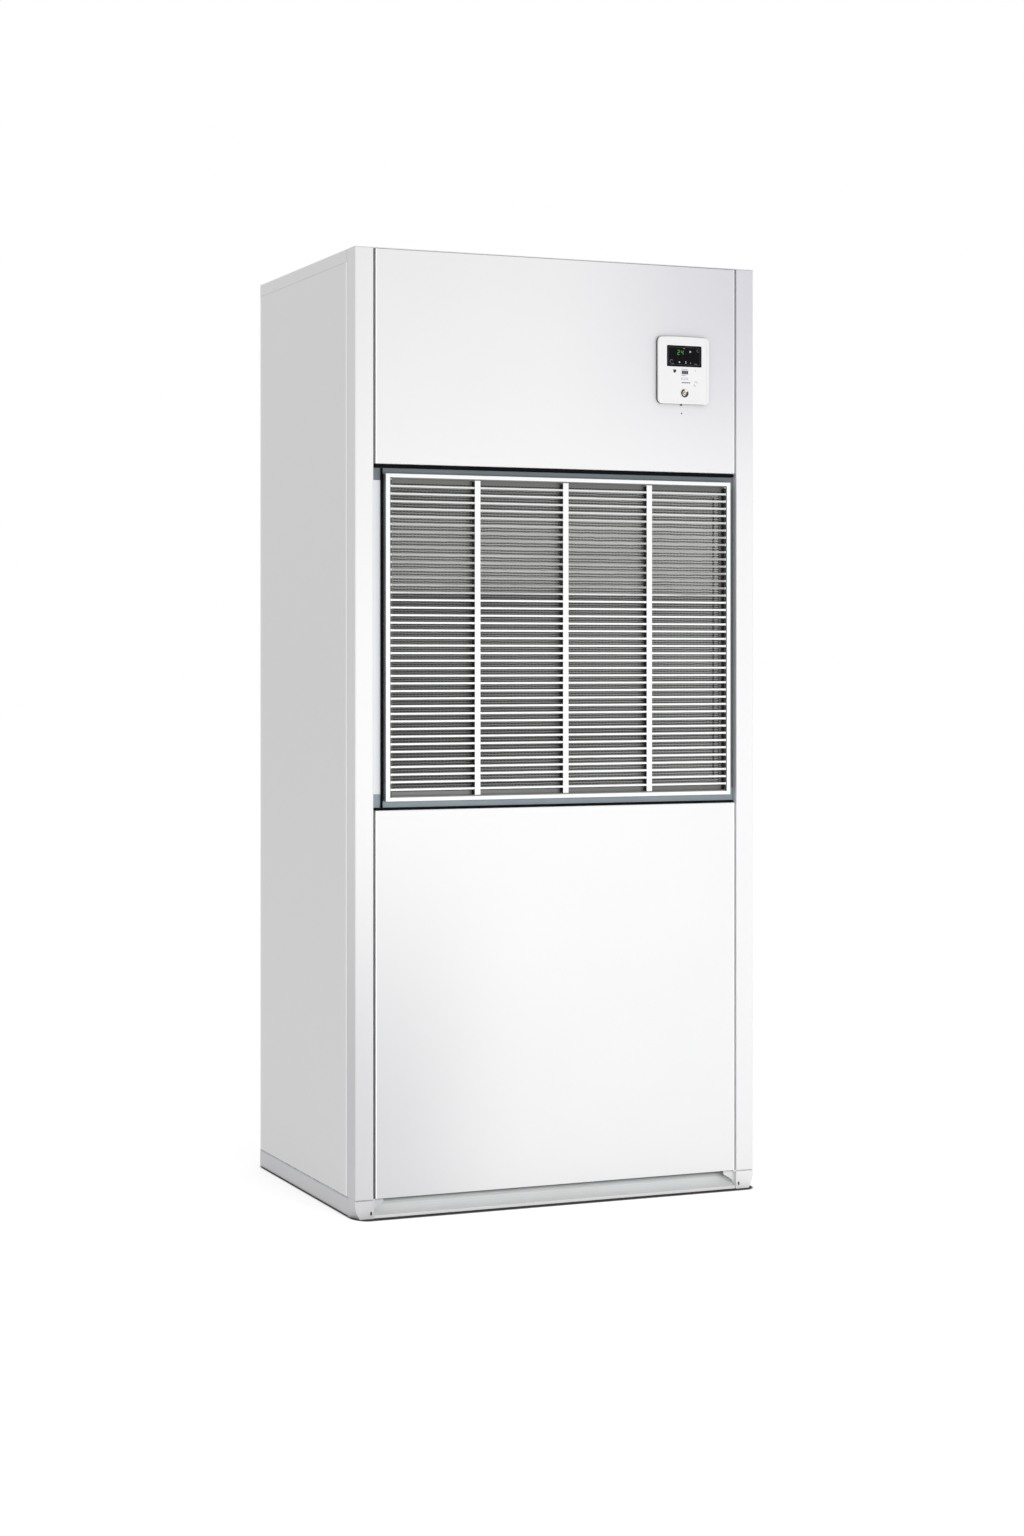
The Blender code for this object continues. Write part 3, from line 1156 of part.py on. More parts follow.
def pipes(looks):
    """Discharge, suction and liquid lines. Each ends face to face with the stub it is brazed to."""
    copper = looks["copper"]
    start = (COMPRESSOR_X, COMPRESSOR_Y, BODY_Z + COMPRESSOR_HEIGHT + COMPRESSOR_TOP_STUB[1] + GAP)
    stub_top = CONDENSER_Z + CONDENSER_RADIUS + GAS_STUB_RISE + GAP
    over = start[2] + DISCHARGE_LOOP
    path = [start, (COMPRESSOR_X, COMPRESSOR_Y, over)]
    path += [(COMPRESSOR_X, CONDENSER_Y, over), (COMPRESSOR_X, CONDENSER_Y, stub_top)]
    tube("pipe_discharge", path, GAS_TUBE, DISCHARGE_BEND, copper)

    header_x, header_y, header_z = header_spot()
    suction_x = COMPRESSOR_X + COMPRESSOR_RADIUS + SUCTION_STUB[1] + GAP
    path = [(suction_x, COMPRESSOR_Y, SUCTION_Z), (header_x, COMPRESSOR_Y, SUCTION_Z)]
    path += [(header_x, header_y, SUCTION_Z), (header_x, header_y, header_z - GAP)]
    tube("pipe_suction", path, HEADER_RADIUS, SUCTION_BEND, copper)

    end_x, end_y, end_z = liquid_spot()
    path = [(LIQUID_X, CONDENSER_Y, stub_top), (LIQUID_X, CONDENSER_Y, LIQUID_RUN_Z)]
    path += [(LIQUID_TURN_X, CONDENSER_Y, LIQUID_RUN_Z), (LIQUID_TURN_X, end_y, LIQUID_RUN_Z)]
    path += [(LIQUID_TURN_X, end_y, end_z), (end_x + GAP, end_y, end_z)]
    line = as_mesh(tube("pipe_liquid", path, COIL_TUBE, LIQUID_BEND, copper, 3, 1))
    neck = COIL_TUBE * 1.25
    shoulder = DRIER_HALF - DRIER_TAPER
    drier = [(0.0, -DRIER_HALF), (neck, -DRIER_HALF), (DRIER_RADIUS, -shoulder)]
    drier += [(DRIER_RADIUS, shoulder), (neck, DRIER_HALF), (0.0, DRIER_HALF)]
    fuse(line, lathe("drier", drier, "Z", (LIQUID_X, CONDENSER_Y, DRIER_Z), copper, 16))


def header_spot():
    """The lower end of the coil's suction header, beside the drain pan."""
    return COIL_X + GAP + HEADER_OFFSET, COIL_Y[0] + PAN_HEIGHT, deck_top(False) + 2 * HEADER_RADIUS


def liquid_spot():
    """The end of the liquid connection on the coil's right plate."""
    return COIL_X + GAP + LIQUID_OFFSET, COIL_Y[1] - 3 * COIL_TUBE, deck_top(False) + LIQUID_RISE


def control_box(looks):
    """The electrical box, hung under the lower deck."""
    top = deck_top(False) - SHEET - GAP
    z = (top - CONTROL_BOX_HEIGHT, top)
    made = box("control_box", CONTROL_BOX_X, CONTROL_BOX_Y, z, looks["galvanised"])
    soften(made, FOLD_RADIUS, 2)


def rounded_rectangle(x, z, radius, arch=0.0, steps=3):
    """A rectangle with round corners, and a top edge that rises by arch in its middle."""
    outline = []
    for cx, cz, start in ((x[1], z[1], 0), (x[0], z[1], 90), (x[0], z[0], 180), (x[1], z[0], 270)):
        mid_x = cx + (radius if cx == x[0] else -radius)
        mid_z = cz + (radius if cz == z[0] else -radius)
        for i in range(steps + 1):
            angle = math.radians(start + 90 * i / steps)
            outline.append((mid_x + radius * math.cos(angle), mid_z + radius * math.sin(angle)))
        if start == 0 and arch:
            for i in range(1, 6):
                u = i / 6
                spot = x[1] - radius + (x[0] - x[1] + 2 * radius) * u
                outline.append((spot, z[1] + arch * 4 * u * (1 - u)))
    return outline


def controller(looks):
    """The wall controller: a moulded case with a raised rim, and its display window."""
    plastic = looks["plastic"]
    back = FRONT - GAP
    front = back - CONTROLLER_DEPTH
    face = front + RIM_HEIGHT
    outline = rounded_rectangle(CONTROLLER_X, CONTROLLER_Z, CONTROLLER_CORNER, CONTROLLER_ARCH)
    case = prism("controller_case", outline, "Y", (front, back), plastic)
    soften(case, RIM_WIDTH / 4, 2)
    recess_x = (CONTROLLER_X[0] + RIM_WIDTH, CONTROLLER_X[1] - RIM_WIDTH)
    recess_z = (CONTROLLER_Z[0] + RIM_WIDTH, CONTROLLER_Z[1] - RIM_WIDTH)
    recess = rounded_rectangle(recess_x, recess_z, RECESS_CORNER)
    cut(case, prism("case_recess", recess, "Y", (front - PAST, face), plastic))
    window = rounded_rectangle(*grown(DISPLAY_X, DISPLAY_Z, GAP), DISPLAY_CORNER + GAP)
    cut(case, prism("case_window", window, "Y", (front - PAST, face + DISPLAY_INSET), plastic))
    glass = (face - DISPLAY_PROUD, face + DISPLAY_INSET - GAP)
    pane = rounded_rectangle(DISPLAY_X, DISPLAY_Z, DISPLAY_CORNER)
    prism("display_window", pane, "Y", glass, looks["display"])
    keys(case, face, looks)


def keys(case, face, looks):
    """The two sprung keys, each in its own pocket of the case."""
    pocket = (face - PAST, face + KEY_DEPTH + KEY_CLEARANCE)
    key_y = (face - KEY_PROUD, face + KEY_DEPTH)
    half_x, half_z = MODE_KEY_SIZE[0] / 2, MODE_KEY_SIZE[1] / 2
    key_x = (MODE_KEY[0] - half_x, MODE_KEY[0] + half_x)
    key_z = (MODE_KEY[1] - half_z, MODE_KEY[1] + half_z)
    cap = rounded_rectangle(key_x, key_z, MODE_KEY_CORNER)
    pivot(prism("mode_key", cap, "Y", key_y, looks["key"]), (MODE_KEY[0], key_y[0], MODE_KEY[1]))
    hole = rounded_rectangle(*grown(key_x, key_z, GAP), MODE_KEY_CORNER + GAP)
    cut(case, prism("mode_key_hole", hole, "Y", pocket, looks["plastic"]))

    centre = (POWER_BUTTON[0], 0.0, POWER_BUTTON[1])
    radius = POWER_BUTTON_RADIUS
    cut(case, cylinder("power_hole", "Y", centre, radius + GAP, pocket, looks["plastic"], 24))
    step = key_y[0] + BUTTON_STEP
    dish = radius - BUTTON_DISH
    cap = [(0.0, key_y[0]), (dish, key_y[0]), (dish + BUTTON_STEP, step), (radius - BUTTON_STEP, step)]
    cap += [(radius, step + BUTTON_STEP), (radius, key_y[1]), (0.0, key_y[1])]
    button = lathe("power_button", cap, "Y", centre, looks["brass"], 24)
    pivot(button, (POWER_BUTTON[0], key_y[0], POWER_BUTTON[1]))


def grown(x, z, by):
    """The two spans of a rectangle made larger all round."""
    return (x[0] - by, x[1] + by), (z[0] - by, z[1] + by)


def main():
    for old in list(bpy.data.objects):
        bpy.data.objects.remove(old)
    looks = {
        "paint": material("Powder coated sheet", "E9E9EC", 0.42),
        "grille": material("Powder coated aluminium", "EDEDED", 0.40),
        "galvanised": material("Galvanised sheet", "9AA3A8", 0.45, 0.85),
        "aluminium": material("Mill finish aluminium", "A8ABAD", 0.35, 0.9),
        "net": material("Filter netting", "6E7068", 0.90),
        "fins": material("Aluminium fin stock", "8E9496", 0.50, 0.6),
        "copper": material("Copper tube", "B4714A", 0.35, 0.95),
        "steel": material("Ground steel", "8C8F92", 0.28, 1.0),
        "cast": material("Painted cast iron", "4A4F54", 0.55, 0.2),
        "motor": material("Enamelled motor casting", "4C5A63", 0.50),
        "rubber": material("Black rubber", "1C1C1E", 0.80),
        "compressor": material("Black enamelled steel", "1F2022", 0.35),
        "condenser": material("Dark enamelled shell", "32383D", 0.45),
        "brass": material("Lacquered brass", "C6BE96", 0.30, 0.7),
        "plastic": material("White moulded plastic", "EFEFF0", 0.38),
        "display": material("Smoked display window", "121214", 0.12),
        "key": material("Dark grey key", "5A5B5E", 0.50),
    }
    base_frame(looks)
    posts(looks)
    side_panels(looks)
    rear_panels(looks)
    top_cap(looks)
    discharge_collar(looks)
    front_panels(looks)
    surrounds(looks)
    grille(looks)
    air_filter(looks)
    decks(looks)
    coil(looks)
    blower_housing(looks)
    blower_wheel(looks)
    blower_supports(looks)
    belt_drive(looks)
    compressor(looks)
    condenser(looks)
    condenser_cradle(looks)
    pipes(looks)
    control_box(looks)
    controller(looks)


main()
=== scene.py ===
"""Finishes, small parts, studio and camera for the packaged air conditioner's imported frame."""

import math

import bmesh
import bpy
from bpy.props import FloatProperty, FloatVectorProperty, PointerProperty
from mathutils import Matrix, Vector


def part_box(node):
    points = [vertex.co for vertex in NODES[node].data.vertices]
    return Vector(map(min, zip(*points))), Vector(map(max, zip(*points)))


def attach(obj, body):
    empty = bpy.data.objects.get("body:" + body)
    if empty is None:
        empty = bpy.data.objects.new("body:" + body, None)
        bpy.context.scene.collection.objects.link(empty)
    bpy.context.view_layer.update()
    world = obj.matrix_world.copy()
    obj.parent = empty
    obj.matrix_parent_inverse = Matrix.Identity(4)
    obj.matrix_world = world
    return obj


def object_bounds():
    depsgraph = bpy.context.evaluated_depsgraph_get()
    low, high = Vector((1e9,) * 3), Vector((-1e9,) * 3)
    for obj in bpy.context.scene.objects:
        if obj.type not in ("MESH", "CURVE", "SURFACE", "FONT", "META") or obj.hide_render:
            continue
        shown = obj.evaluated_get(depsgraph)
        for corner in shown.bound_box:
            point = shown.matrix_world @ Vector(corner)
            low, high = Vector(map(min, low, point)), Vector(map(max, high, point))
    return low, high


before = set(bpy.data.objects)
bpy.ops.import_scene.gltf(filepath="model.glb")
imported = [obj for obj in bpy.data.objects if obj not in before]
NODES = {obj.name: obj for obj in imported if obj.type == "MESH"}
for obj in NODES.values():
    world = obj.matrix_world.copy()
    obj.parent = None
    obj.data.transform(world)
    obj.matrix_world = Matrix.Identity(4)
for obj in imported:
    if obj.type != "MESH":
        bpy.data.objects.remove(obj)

bl_info = {
    "name": "Packaged Air Conditioner",
    "version": (1, 0, 0),
    "blender": (4, 5, 0),
    "location": "View3D > Sidebar > Air Unit",
    "description": "Finishes, small parts and studio for a ducted packaged air conditioner",
    "category": "Object",
}

CAD_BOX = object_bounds()
MM = 0.001
FILM = 0.08 * MM  # How far a printed mark stands out from its surface.
ONE_WAVE = 0.314  # The scale at which the wave texture repeats once a metre.

# Nodes that carry fasteners, seals or marks, as low and high corners read once from the frame.
REAR_PANELS = (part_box("rear_panel_lower"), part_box("rear_panel_upper"))
SURROUND_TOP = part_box("surround_top")
GRILLE_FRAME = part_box("grille_frame")
GRILLE_MIDDLE = (GRILLE_FRAME[0] + GRILLE_FRAME[1]) / 2
GRILLE_HALF = (GRILLE_FRAME[1] - GRILLE_FRAME[0]) / 2
BLADE_PITCH = 14.5 * MM
FIRST_BLADE_Z = GRILLE_FRAME[1].z - 23.8 * MM
MULLION_SHARES = (0.2568, 0.5095, 0.7554)
UPPER_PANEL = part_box("upper_panel")
LOWER_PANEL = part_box("lower_panel")
BEARINGS = (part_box("bearing_l"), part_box("bearing_r"))
MOTOR_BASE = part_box("motor_base")
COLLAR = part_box("discharge_collar")
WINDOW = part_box("display_window")
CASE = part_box("controller_case")
MODE_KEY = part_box("mode_key")
POWER_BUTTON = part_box("power_button")


def linear(code):
    """Linear RGBA from an sRGB hex colour."""
    values = [int(code[i:i + 2], 16) / 255 for i in (1, 3, 5)]
    return tuple(v / 12.92 if v <= 0.04045 else ((v + 0.055) / 1.055) ** 2.4 for v in values) + (1.0,)


def colour(name, description, code):
    """A colour property whose default is an sRGB hex colour."""
    return FloatVectorProperty(
        name=name, description=description, subtype="COLOR", size=4, min=0.0, max=1.0, default=linear(code)
    )


def length(name, description, metres):
    """A length property in metres."""
    return FloatProperty(
        name=name, description=description, unit="LENGTH", subtype="DISTANCE", min=0.0, default=metres,
        precision=5
    )


class UnitColours(bpy.types.PropertyGroup):
    """Colours of the finishes."""
    cabinet: colour("Cabinet", "Powder coat on the folded steel panels, posts and cap", "#eeeeef")
    surround: colour("Surround", "Powder coat on the recessed strips round the grille", "#8b98a0")
    # The left strip's pale colour is a painted reflection, the bright sheen on the lit face of a blue-grey
    # strip.
    surround_left: colour(
        "Left strip", "Powder coat on the left strip, which is painted with the cabinet", "#ebeef1"
    )
    grille: colour("Grille", "Powder coat on the extruded grille", "#f4f5f6")
    dust: colour("Dust", "Fine dust that the air leaves on the grille's blades", "#747573")
    thread: colour("Netting thread", "Woven filter netting", "#c4c5c1")
    window: colour("Window", "Smoked display window", "#09090b")
    digits: colour("Digits", "Lit segments of the display", "#2fae4a")


class UnitSizes(bpy.types.PropertyGroup):
    """Sizes of the small parts."""
    screw_radius: length("Screw head radius", "Radius of a panel screw's pan head", 0.0038)
    screw_height: length("Screw head height", "How far a panel screw stands proud", 0.0021)
    bolt_radius: length("Bolt head radius", "Radius over the corners of a foot bolt's hexagon", 0.0075)
    bolt_height: length("Bolt head height", "Height of a foot bolt's hexagon", 0.0053)
    digit_height: length("Digit height", "Height of a digit on the display", 0.0098)
    netting_pitch: length("Netting pitch", "Spacing of the netting's threads", 0.0048)


class UnitStudio(bpy.types.PropertyGroup):
    """Camera and lamps."""
    focal: FloatProperty(
        name="Focal length", description="Lens in millimetres on a 36 mm long side", unit="CAMERA",
        default=64.11
    )
    turn: FloatProperty(
        name="Turn", description="How far the camera looks to the right of the unit's axis",
        subtype="ANGLE", default=math.radians(22.6)
    )
    eye: FloatVectorProperty(
        name="Eye", description="Camera position", subtype="XYZ", unit="LENGTH",
        default=(-2.1445, -5.2069, 1.0688)
    )
    rise: FloatProperty(
        name="Lens shift", description="Vertical shift that sets the horizon above the middle",
        default=-0.0721
    )
    key: FloatProperty(
        name="Key lamp", description="Power of the large softbox at the front right", unit="POWER",
        default=29.0
    )
    fill: FloatProperty(name="Sky", description="Strength of the even studio light", default=0.675)
    lift: FloatProperty(
        name="Floor lift", description="Light added to the paper floor for the camera", default=0.45
    )


class UnitSettings(bpy.types.PropertyGroup):
    """Everything that a user may change."""
    colours: PointerProperty(type=UnitColours)
    sizes: PointerProperty(type=UnitSizes)
    studio: PointerProperty(type=UnitStudio)


def settings():
    """The unit's settings in this scene."""
    return bpy.context.scene.air_unit


# Finishes

RGBA = {"data_type": "RGBA"}
SMOOTH = {"interpolation_type": "SMOOTHSTEP"}
MULTIPLY = {"operation": "MULTIPLY"}
COMPARE = {"operation": "COMPARE"}

# The output that a link means where it names only a node, if it isn't the node's first one.
MAIN_OUTPUTS = {"ShaderNodeMix": 2, "ShaderNodeTexWave": "Fac"}


def feed(node, sources):
    """Links a node's inputs to these outputs, or to these nodes' main outputs."""
    for key, source in sources.items():
        if isinstance(source, bpy.types.Node):
            source = source.outputs[MAIN_OUTPUTS.get(source.bl_idname, 0)]
        node.id_data.links.new(source, node.inputs[key])


def add(tree, kind, values=None, links=None):
    """Adds one node, with its settings or socket values and what feeds it."""
    node = tree.nodes.new("ShaderNode" + kind)
    for key, value in (values or {}).items():
        if isinstance(key, int) or key in node.inputs:
            node.inputs[key].default_value = value
        else:
            setattr(node, key, value)
    feed(node, links or {})
    return node


def start(name, values):
    """A new material with its tree, its shader and the piece's own coordinates in metres."""
    material = bpy.data.materials.new(name)
    material.use_nodes = True
    tree = material.node_tree
    shader = tree.nodes["Principled BSDF"]
    for key, value in values.items():
        shader.inputs[key].default_value = value
    place = add(tree, "TexCoord").outputs["Object"]
    return material, tree, shader, place


def reopen(material):
    """A finished material's tree, shader, base colour, and coordinates whole and split into X, Y and Z."""
    tree = material.node_tree
    shader = tree.nodes["Principled BSDF"]
    place = add(tree, "TexCoord").outputs["Object"]
    axes = add(tree, "SeparateXYZ", {}, {"Vector": place}).outputs
    return tree, shader, shader.inputs["Base Color"].links[0].from_socket, place, axes


def shade(rgba, factor):
    """A colour made lighter or darker."""
    return tuple(min(1.0, channel * factor) for channel in rgba[:3]) + (1.0,)


def dress(material, *names):
    """Gives these nodes of the frame this material in every slot."""
    for name in names:
        slots = NODES[name].material_slots
        if not slots:
            NODES[name].data.materials.append(material)
        for slot in slots:
            slot.material = material


def powder_coat(name, rgba, roughness=0.40, peel_mm=7.0, depth=0.05, spread=0.018, cloud_mm=260.0):
    """Polyester powder baked on folded steel: satin, faintly dimpled, with hardly any change of tone."""
    # The real peel is 1 to 2 mm across, too fine for the render, so it is drawn at 7 mm.
    material, tree, shader, place = start(name, {"Roughness": roughness, "IOR": 1.5})
    cloud = add(tree, "TexNoise", {"Scale": 1000 / cloud_mm, "Detail": 2.0}, {"Vector": place})
    tone = add(tree, "Mix", {**RGBA, 6: shade(rgba, 1 - spread), 7: shade(rgba, 1 + spread)}, {0: cloud})
    satin = add(
        tree, "MapRange", {"To Min": roughness - 0.04, "To Max": roughness + 0.05}, {"Value": cloud}
    )
    peel = add(tree, "TexNoise", {"Scale": 1000 / peel_mm, "Detail": 3.0}, {"Vector": place})
    bump = add(tree, "Bump", {"Strength": depth, "Distance": 0.4 * MM}, {"Height": peel})
    feed(shader, {"Base Color": tone, "Roughness": satin, "Normal": bump})
    return material


def dusted_and_shaded_coat(name, rgba, dust):
    """Powder coat on the grille's blades, under a veil of fine dust where the air is drawn in fastest, with
    painted shade beside the upright bars.
    """
    material = powder_coat(name, rgba, roughness=0.36, peel_mm=5.0, depth=0.03)
    tree, shader, base_tone, place, axes = reopen(material)
    # The veil lies between 1.19 and 1.34 m, with a wavy edge, and thins out in streaks along the blades.
    streaks = add(tree, "Mapping", {"Scale": (1.0, 0.0, 22.0)}, {"Vector": place})
    drift = add(tree, "TexNoise", {"Scale": 4.0, "Detail": 3.0}, {"Vector": streaks})
    height = add(tree, "Math", {"operation": "MULTIPLY_ADD", 1: 0.030}, {0: drift, 2: axes["Z"]})
    rise = add(tree, "MapRange", {**SMOOTH, "From Min": 1.198, "From Max": 1.214}, {"Value": height})
    fall = add(
        tree, "MapRange", {**SMOOTH, "From Min": 1.372, "From Max": 1.322, "To Min": 0.36},
        {"Value": height}
    )
    # The upright bars stand proud of the blades, and are wiped clean.
    sunk = add(tree, "MapRange", {"From Min": -0.3026, "From Max": -0.3022}, {"Value": axes["Y"]})
    thin = add(tree, "MapRange", {"To Min": 0.45, "To Max": 1.0}, {"Value": drift})
    share = rise
    for other in (fall, sunk, thin):
        share = add(tree, "Math", MULTIPLY, {0: share, 1: other})
    dust_and_shade = add(tree, "Mix", {**RGBA, 7: dust}, {0: share, 6: base_tone})
    # The sides of the upright bars are painted near black as painted shade.
    # Each blade's fused end hides the rest of them.
    end_bar, upright, bar_front = 12.7 * MM, 6.2 * MM, -0.3027
    ends = add(tree, "Math", {**COMPARE, 1: GRILLE_MIDDLE.x, 2: GRILLE_HALF.x - end_bar}, {0: axes["X"]})
    bars = add(tree, "Math", {"operation": "SUBTRACT", 0: 1.0}, {1: ends})
    for part in MULLION_SHARES:
        x = GRILLE_FRAME[0].x + 2 * GRILLE_HALF.x * part
        near = add(tree, "Math", {**COMPARE, 1: x, 2: upright}, {0: axes["X"]})
        bars = add(tree, "Math", {"operation": "MAXIMUM"}, {0: bars, 1: near})
    # One turn of this count spans one blade pitch, and a blade lies at its half.
    offset = 0.5 - FIRST_BLADE_Z / BLADE_PITCH
    count = add(tree, "Math", {"operation": "MULTIPLY_ADD", 1: 1 / BLADE_PITCH, 2: offset}, {0: axes["Z"]})
    phase = add(tree, "Math", {"operation": "FLOORED_MODULO", 1: 1.0}, {0: count})
    row = add(tree, "Math", {**COMPARE, 1: 0.5, 2: 0.15}, {0: phase})
    between = add(tree, "Math", {"operation": "SUBTRACT", 0: 1.0}, {1: row})
    behind = add(tree, "Math", {"operation": "GREATER_THAN", 1: bar_front}, {0: axes["Y"]})
    for other in (between, behind):
        bars = add(tree, "Math", MULTIPLY, {0: bars, 1: other})
    feed(shader, {"Base Color": add(tree, "Mix", {**RGBA, 7: linear("#151617")}, {0: bars, 6: dust_and_shade})})
    return material


def shaded_corners(material):
    """Paints shade onto a coat: it greys a little towards the unit's upper right and lower left."""
    tree, shader, tone, place, axes = reopen(material)
    for across, up, grey in (
        ((-0.05, 0.42), (1.30, 1.80), "#d9d8de"),
        ((-0.05, -0.42), (0.85, 0.15), "#d8d8da"),
    ):
        x = add(
            tree, "MapRange", {**SMOOTH, "From Min": across[0], "From Max": across[1]},
            {"Value": axes["X"]}
        )
        z = add(tree, "MapRange", {**SMOOTH, "From Min": up[0], "From Max": up[1]}, {"Value": axes["Z"]})
        share = add(tree, "Math", MULTIPLY, {0: x, 1: z})
        tone = add(tree, "Mix", {**RGBA, 7: linear(grey)}, {0: share, 6: tone})
    feed(shader, {"Base Color": tone})
    return material


def edge_highlighted(material, axis, middle, half):
    """Paints highlights on a coat's folded edges: beyond this distance from the middle, it shines like
    metal.
    """
    tree, shader, tone, place, axes = reopen(material)
    plain = add(tree, "Math", {**COMPARE, 1: middle, 2: half}, {0: axes[axis]})
    shine = add(tree, "MapRange", {"To Min": 0.85, "To Max": 0.0}, {"Value": plain})
    bright = add(tree, "Mix", {**RGBA, 6: linear("#f8f8f8")}, {0: plain, 7: tone})
    feed(shader, {"Metallic": shine, "Base Color": bright})
    return material


def galvanised_sheet(name="galvanised_sheet_hot_dipped"):
    """Hot-dipped zinc on steel: grey spangle whose crystals catch the light one by one."""
    material, tree, shader, place = start(name, {"Metallic": 1.0, "Roughness": 0.42})
    spangle = add(tree, "TexVoronoi", {"Scale": 1000 / 14, "Randomness": 1.0}, {"Vector": place})
    grey = add(tree, "SeparateColor", {}, {"Color": spangle.outputs["Color"]})
    low, high = linear("#8f979b"), linear("#b9c0c3")
    tone = add(tree, "Mix", {**RGBA, 6: low, 7: high}, {0: grey.outputs["Red"]})
    rough = add(tree, "MapRange", {"To Min": 0.34, "To Max": 0.52}, {"Value": grey.outputs["Green"]})
    frost = add(tree, "TexNoise", {"Scale": 1000 / 3, "Detail": 4.0}, {"Vector": place})
    bump = add(tree, "Bump", {"Strength": 0.10, "Distance": 0.2 * MM}, {"Height": frost})
    feed(shader, {"Base Color": tone, "Roughness": rough, "Normal": bump})
    return material


def drawn_metal(name, dark, light, roughness, along=(1.0, 1.0, 1.0), grain_mm=2.0, metallic=1.0):
    """Metal that was drawn, rolled or ground: fine lines along the tool's path, and faint stains."""
    material, tree, shader, place = start(name, {"Metallic": metallic, "Roughness": roughness})
    stain = add(tree, "TexNoise", {"Scale": 1000 / 35, "Detail": 5.0, "Roughness": 0.6}, {"Vector": place})
    tone = add(tree, "Mix", {**RGBA, 6: linear(dark), 7: linear(light)}, {0: stain})
    stretch = add(tree, "Mapping", {"Scale": along}, {"Vector": place})
    lines = add(tree, "TexNoise", {"Scale": 1000 / grain_mm, "Detail": 2.0}, {"Vector": stretch})
    rough = add(
        tree, "MapRange", {"To Min": roughness - 0.08, "To Max": roughness + 0.10}, {"Value": lines}
    )
    bump = add(tree, "Bump", {"Strength": 0.12, "Distance": 0.1 * MM}, {"Height": lines})
    feed(shader, {"Base Color": tone, "Roughness": rough, "Normal": bump})
    return material


def rough_coat(name, dark, light, roughness, grain_mm, depth_mm, strength=0.35, cloud_mm=40.0):
    """Paint, rubber, plastic or foam with its own grain: a mottled tone over bumps of a stated size."""
    material, tree, shader, place = start(name, {"Roughness": roughness, "IOR": 1.5})
    cloud = add(
        tree, "TexNoise", {"Scale": 1000 / cloud_mm, "Detail": 4.0, "Roughness": 0.6}, {"Vector": place}
    )
    tone = add(tree, "Mix", {**RGBA, 6: linear(dark), 7: linear(light)}, {0: cloud})
    grain = add(tree, "TexNoise", {"Scale": 1000 / grain_mm, "Detail": 3.0}, {"Vector": place})
    bump = add(tree, "Bump", {"Strength": strength, "Distance": depth_mm * MM}, {"Height": grain})
    feed(shader, {"Base Color": tone, "Normal": bump})
    return material


def woven_netting():
    """Crimped synthetic netting, woven and heat-set: pale wavy threads over dark holes."""
    values = settings()
    pitch = values.sizes.netting_pitch
    material, tree, shader, place = start(
        "netting_woven_polypropylene", {"Roughness": 0.62, "Specular IOR Level": 0.2}
    )
    sway = add(tree, "TexNoise", {"Scale": 1000 / 30, "Detail": 2.0}, {"Vector": place})
    shift = add(tree, "VectorMath", {"operation": "SCALE", "Scale": 0.0026}, {0: sway.outputs["Color"]})
    wavy = add(tree, "VectorMath", {"operation": "ADD"}, {0: place, 1: shift})
    across = add(
        tree, "TexWave", {"bands_direction": "Z", "Scale": ONE_WAVE / pitch, "Distortion": 0.0},
        {"Vector": wavy}
    )
    down = add(
        tree, "TexWave", {"bands_direction": "X", "Scale": ONE_WAVE / (1.5 * pitch), "Distortion": 0.0},
        {"Vector": wavy}
    )
    thin = add(tree, "Math", {**MULTIPLY, 1: 0.45}, {0: down})
    weave = add(tree, "Math", {"operation": "MAXIMUM"}, {0: across, 1: thin})
    thread = values.colours.thread
    dust_map = add(tree, "Mapping", {"Scale": (0.6, 1.0, 9.0)}, {"Vector": place})
    dust = add(tree, "TexNoise", {"Scale": 1.6, "Detail": 3.0}, {"Vector": dust_map})
    pale = add(tree, "Mix", {**RGBA, 6: shade(thread, 0.55), 7: shade(thread, 1.30)}, {0: dust})
    # Most dust lies between 1.19 and 1.34 m, and the netting darkens towards the left as painted shade.
    axes = add(tree, "SeparateXYZ", {}, {"Vector": place}).outputs
    rise = add(tree, "MapRange", {**SMOOTH, "From Min": 1.186, "From Max": 1.204}, {"Value": axes["Z"]})
    fall = add(
        tree, "MapRange", {**SMOOTH, "From Min": 1.362, "From Max": 1.320, "To Min": 0.35},
        {"Value": axes["Z"]}
    )
    band = add(tree, "Math", MULTIPLY, {0: rise, 1: fall})
    side = add(
        tree, "MapRange", {"From Min": -0.35, "From Max": 0.30, "To Min": 0.42, "To Max": 0.80},
        {"Value": axes["X"]}
    )
    level = add(tree, "Math", {"operation": "MULTIPLY_ADD", 1: 0.75}, {0: band, 2: side})
    strands = add(tree, "VectorMath", {"operation": "SCALE"}, {0: pale, "Scale": level})
    tone = add(tree, "Mix", {**RGBA, 6: linear("#131414")}, {0: weave, 7: strands})
    bump = add(tree, "Bump", {"Strength": 0.6, "Distance": 0.8 * MM}, {"Height": weave})
    feed(shader, {"Base Color": tone, "Normal": bump})
    return material


def stacked_fins():
    """Thin rolled aluminium fins, stacked on the tubes: fine upright lines, with painted shade between the
    edges.
    """
    # Real fins stand 1.8 mm apart, and are drawn at 3 mm so that they show.
    material, tree, shader, place = start("fins_rolled_aluminium", {"Metallic": 0.85, "Roughness": 0.45})
    fins = add(
        tree, "TexWave",
        {"bands_direction": "X", "Scale": ONE_WAVE / 0.003, "Distortion": 0.4, "Detail": 1.0},
        {"Vector": place}
    )
    tone = add(tree, "Mix", {**RGBA, 6: linear("#2a2d2e"), 7: linear("#a9adae")}, {0: fins})
    bump = add(tree, "Bump", {"Strength": 0.8, "Distance": 1.0 * MM}, {"Height": fins})
    feed(shader, {"Base Color": tone, "Normal": bump})
    return material


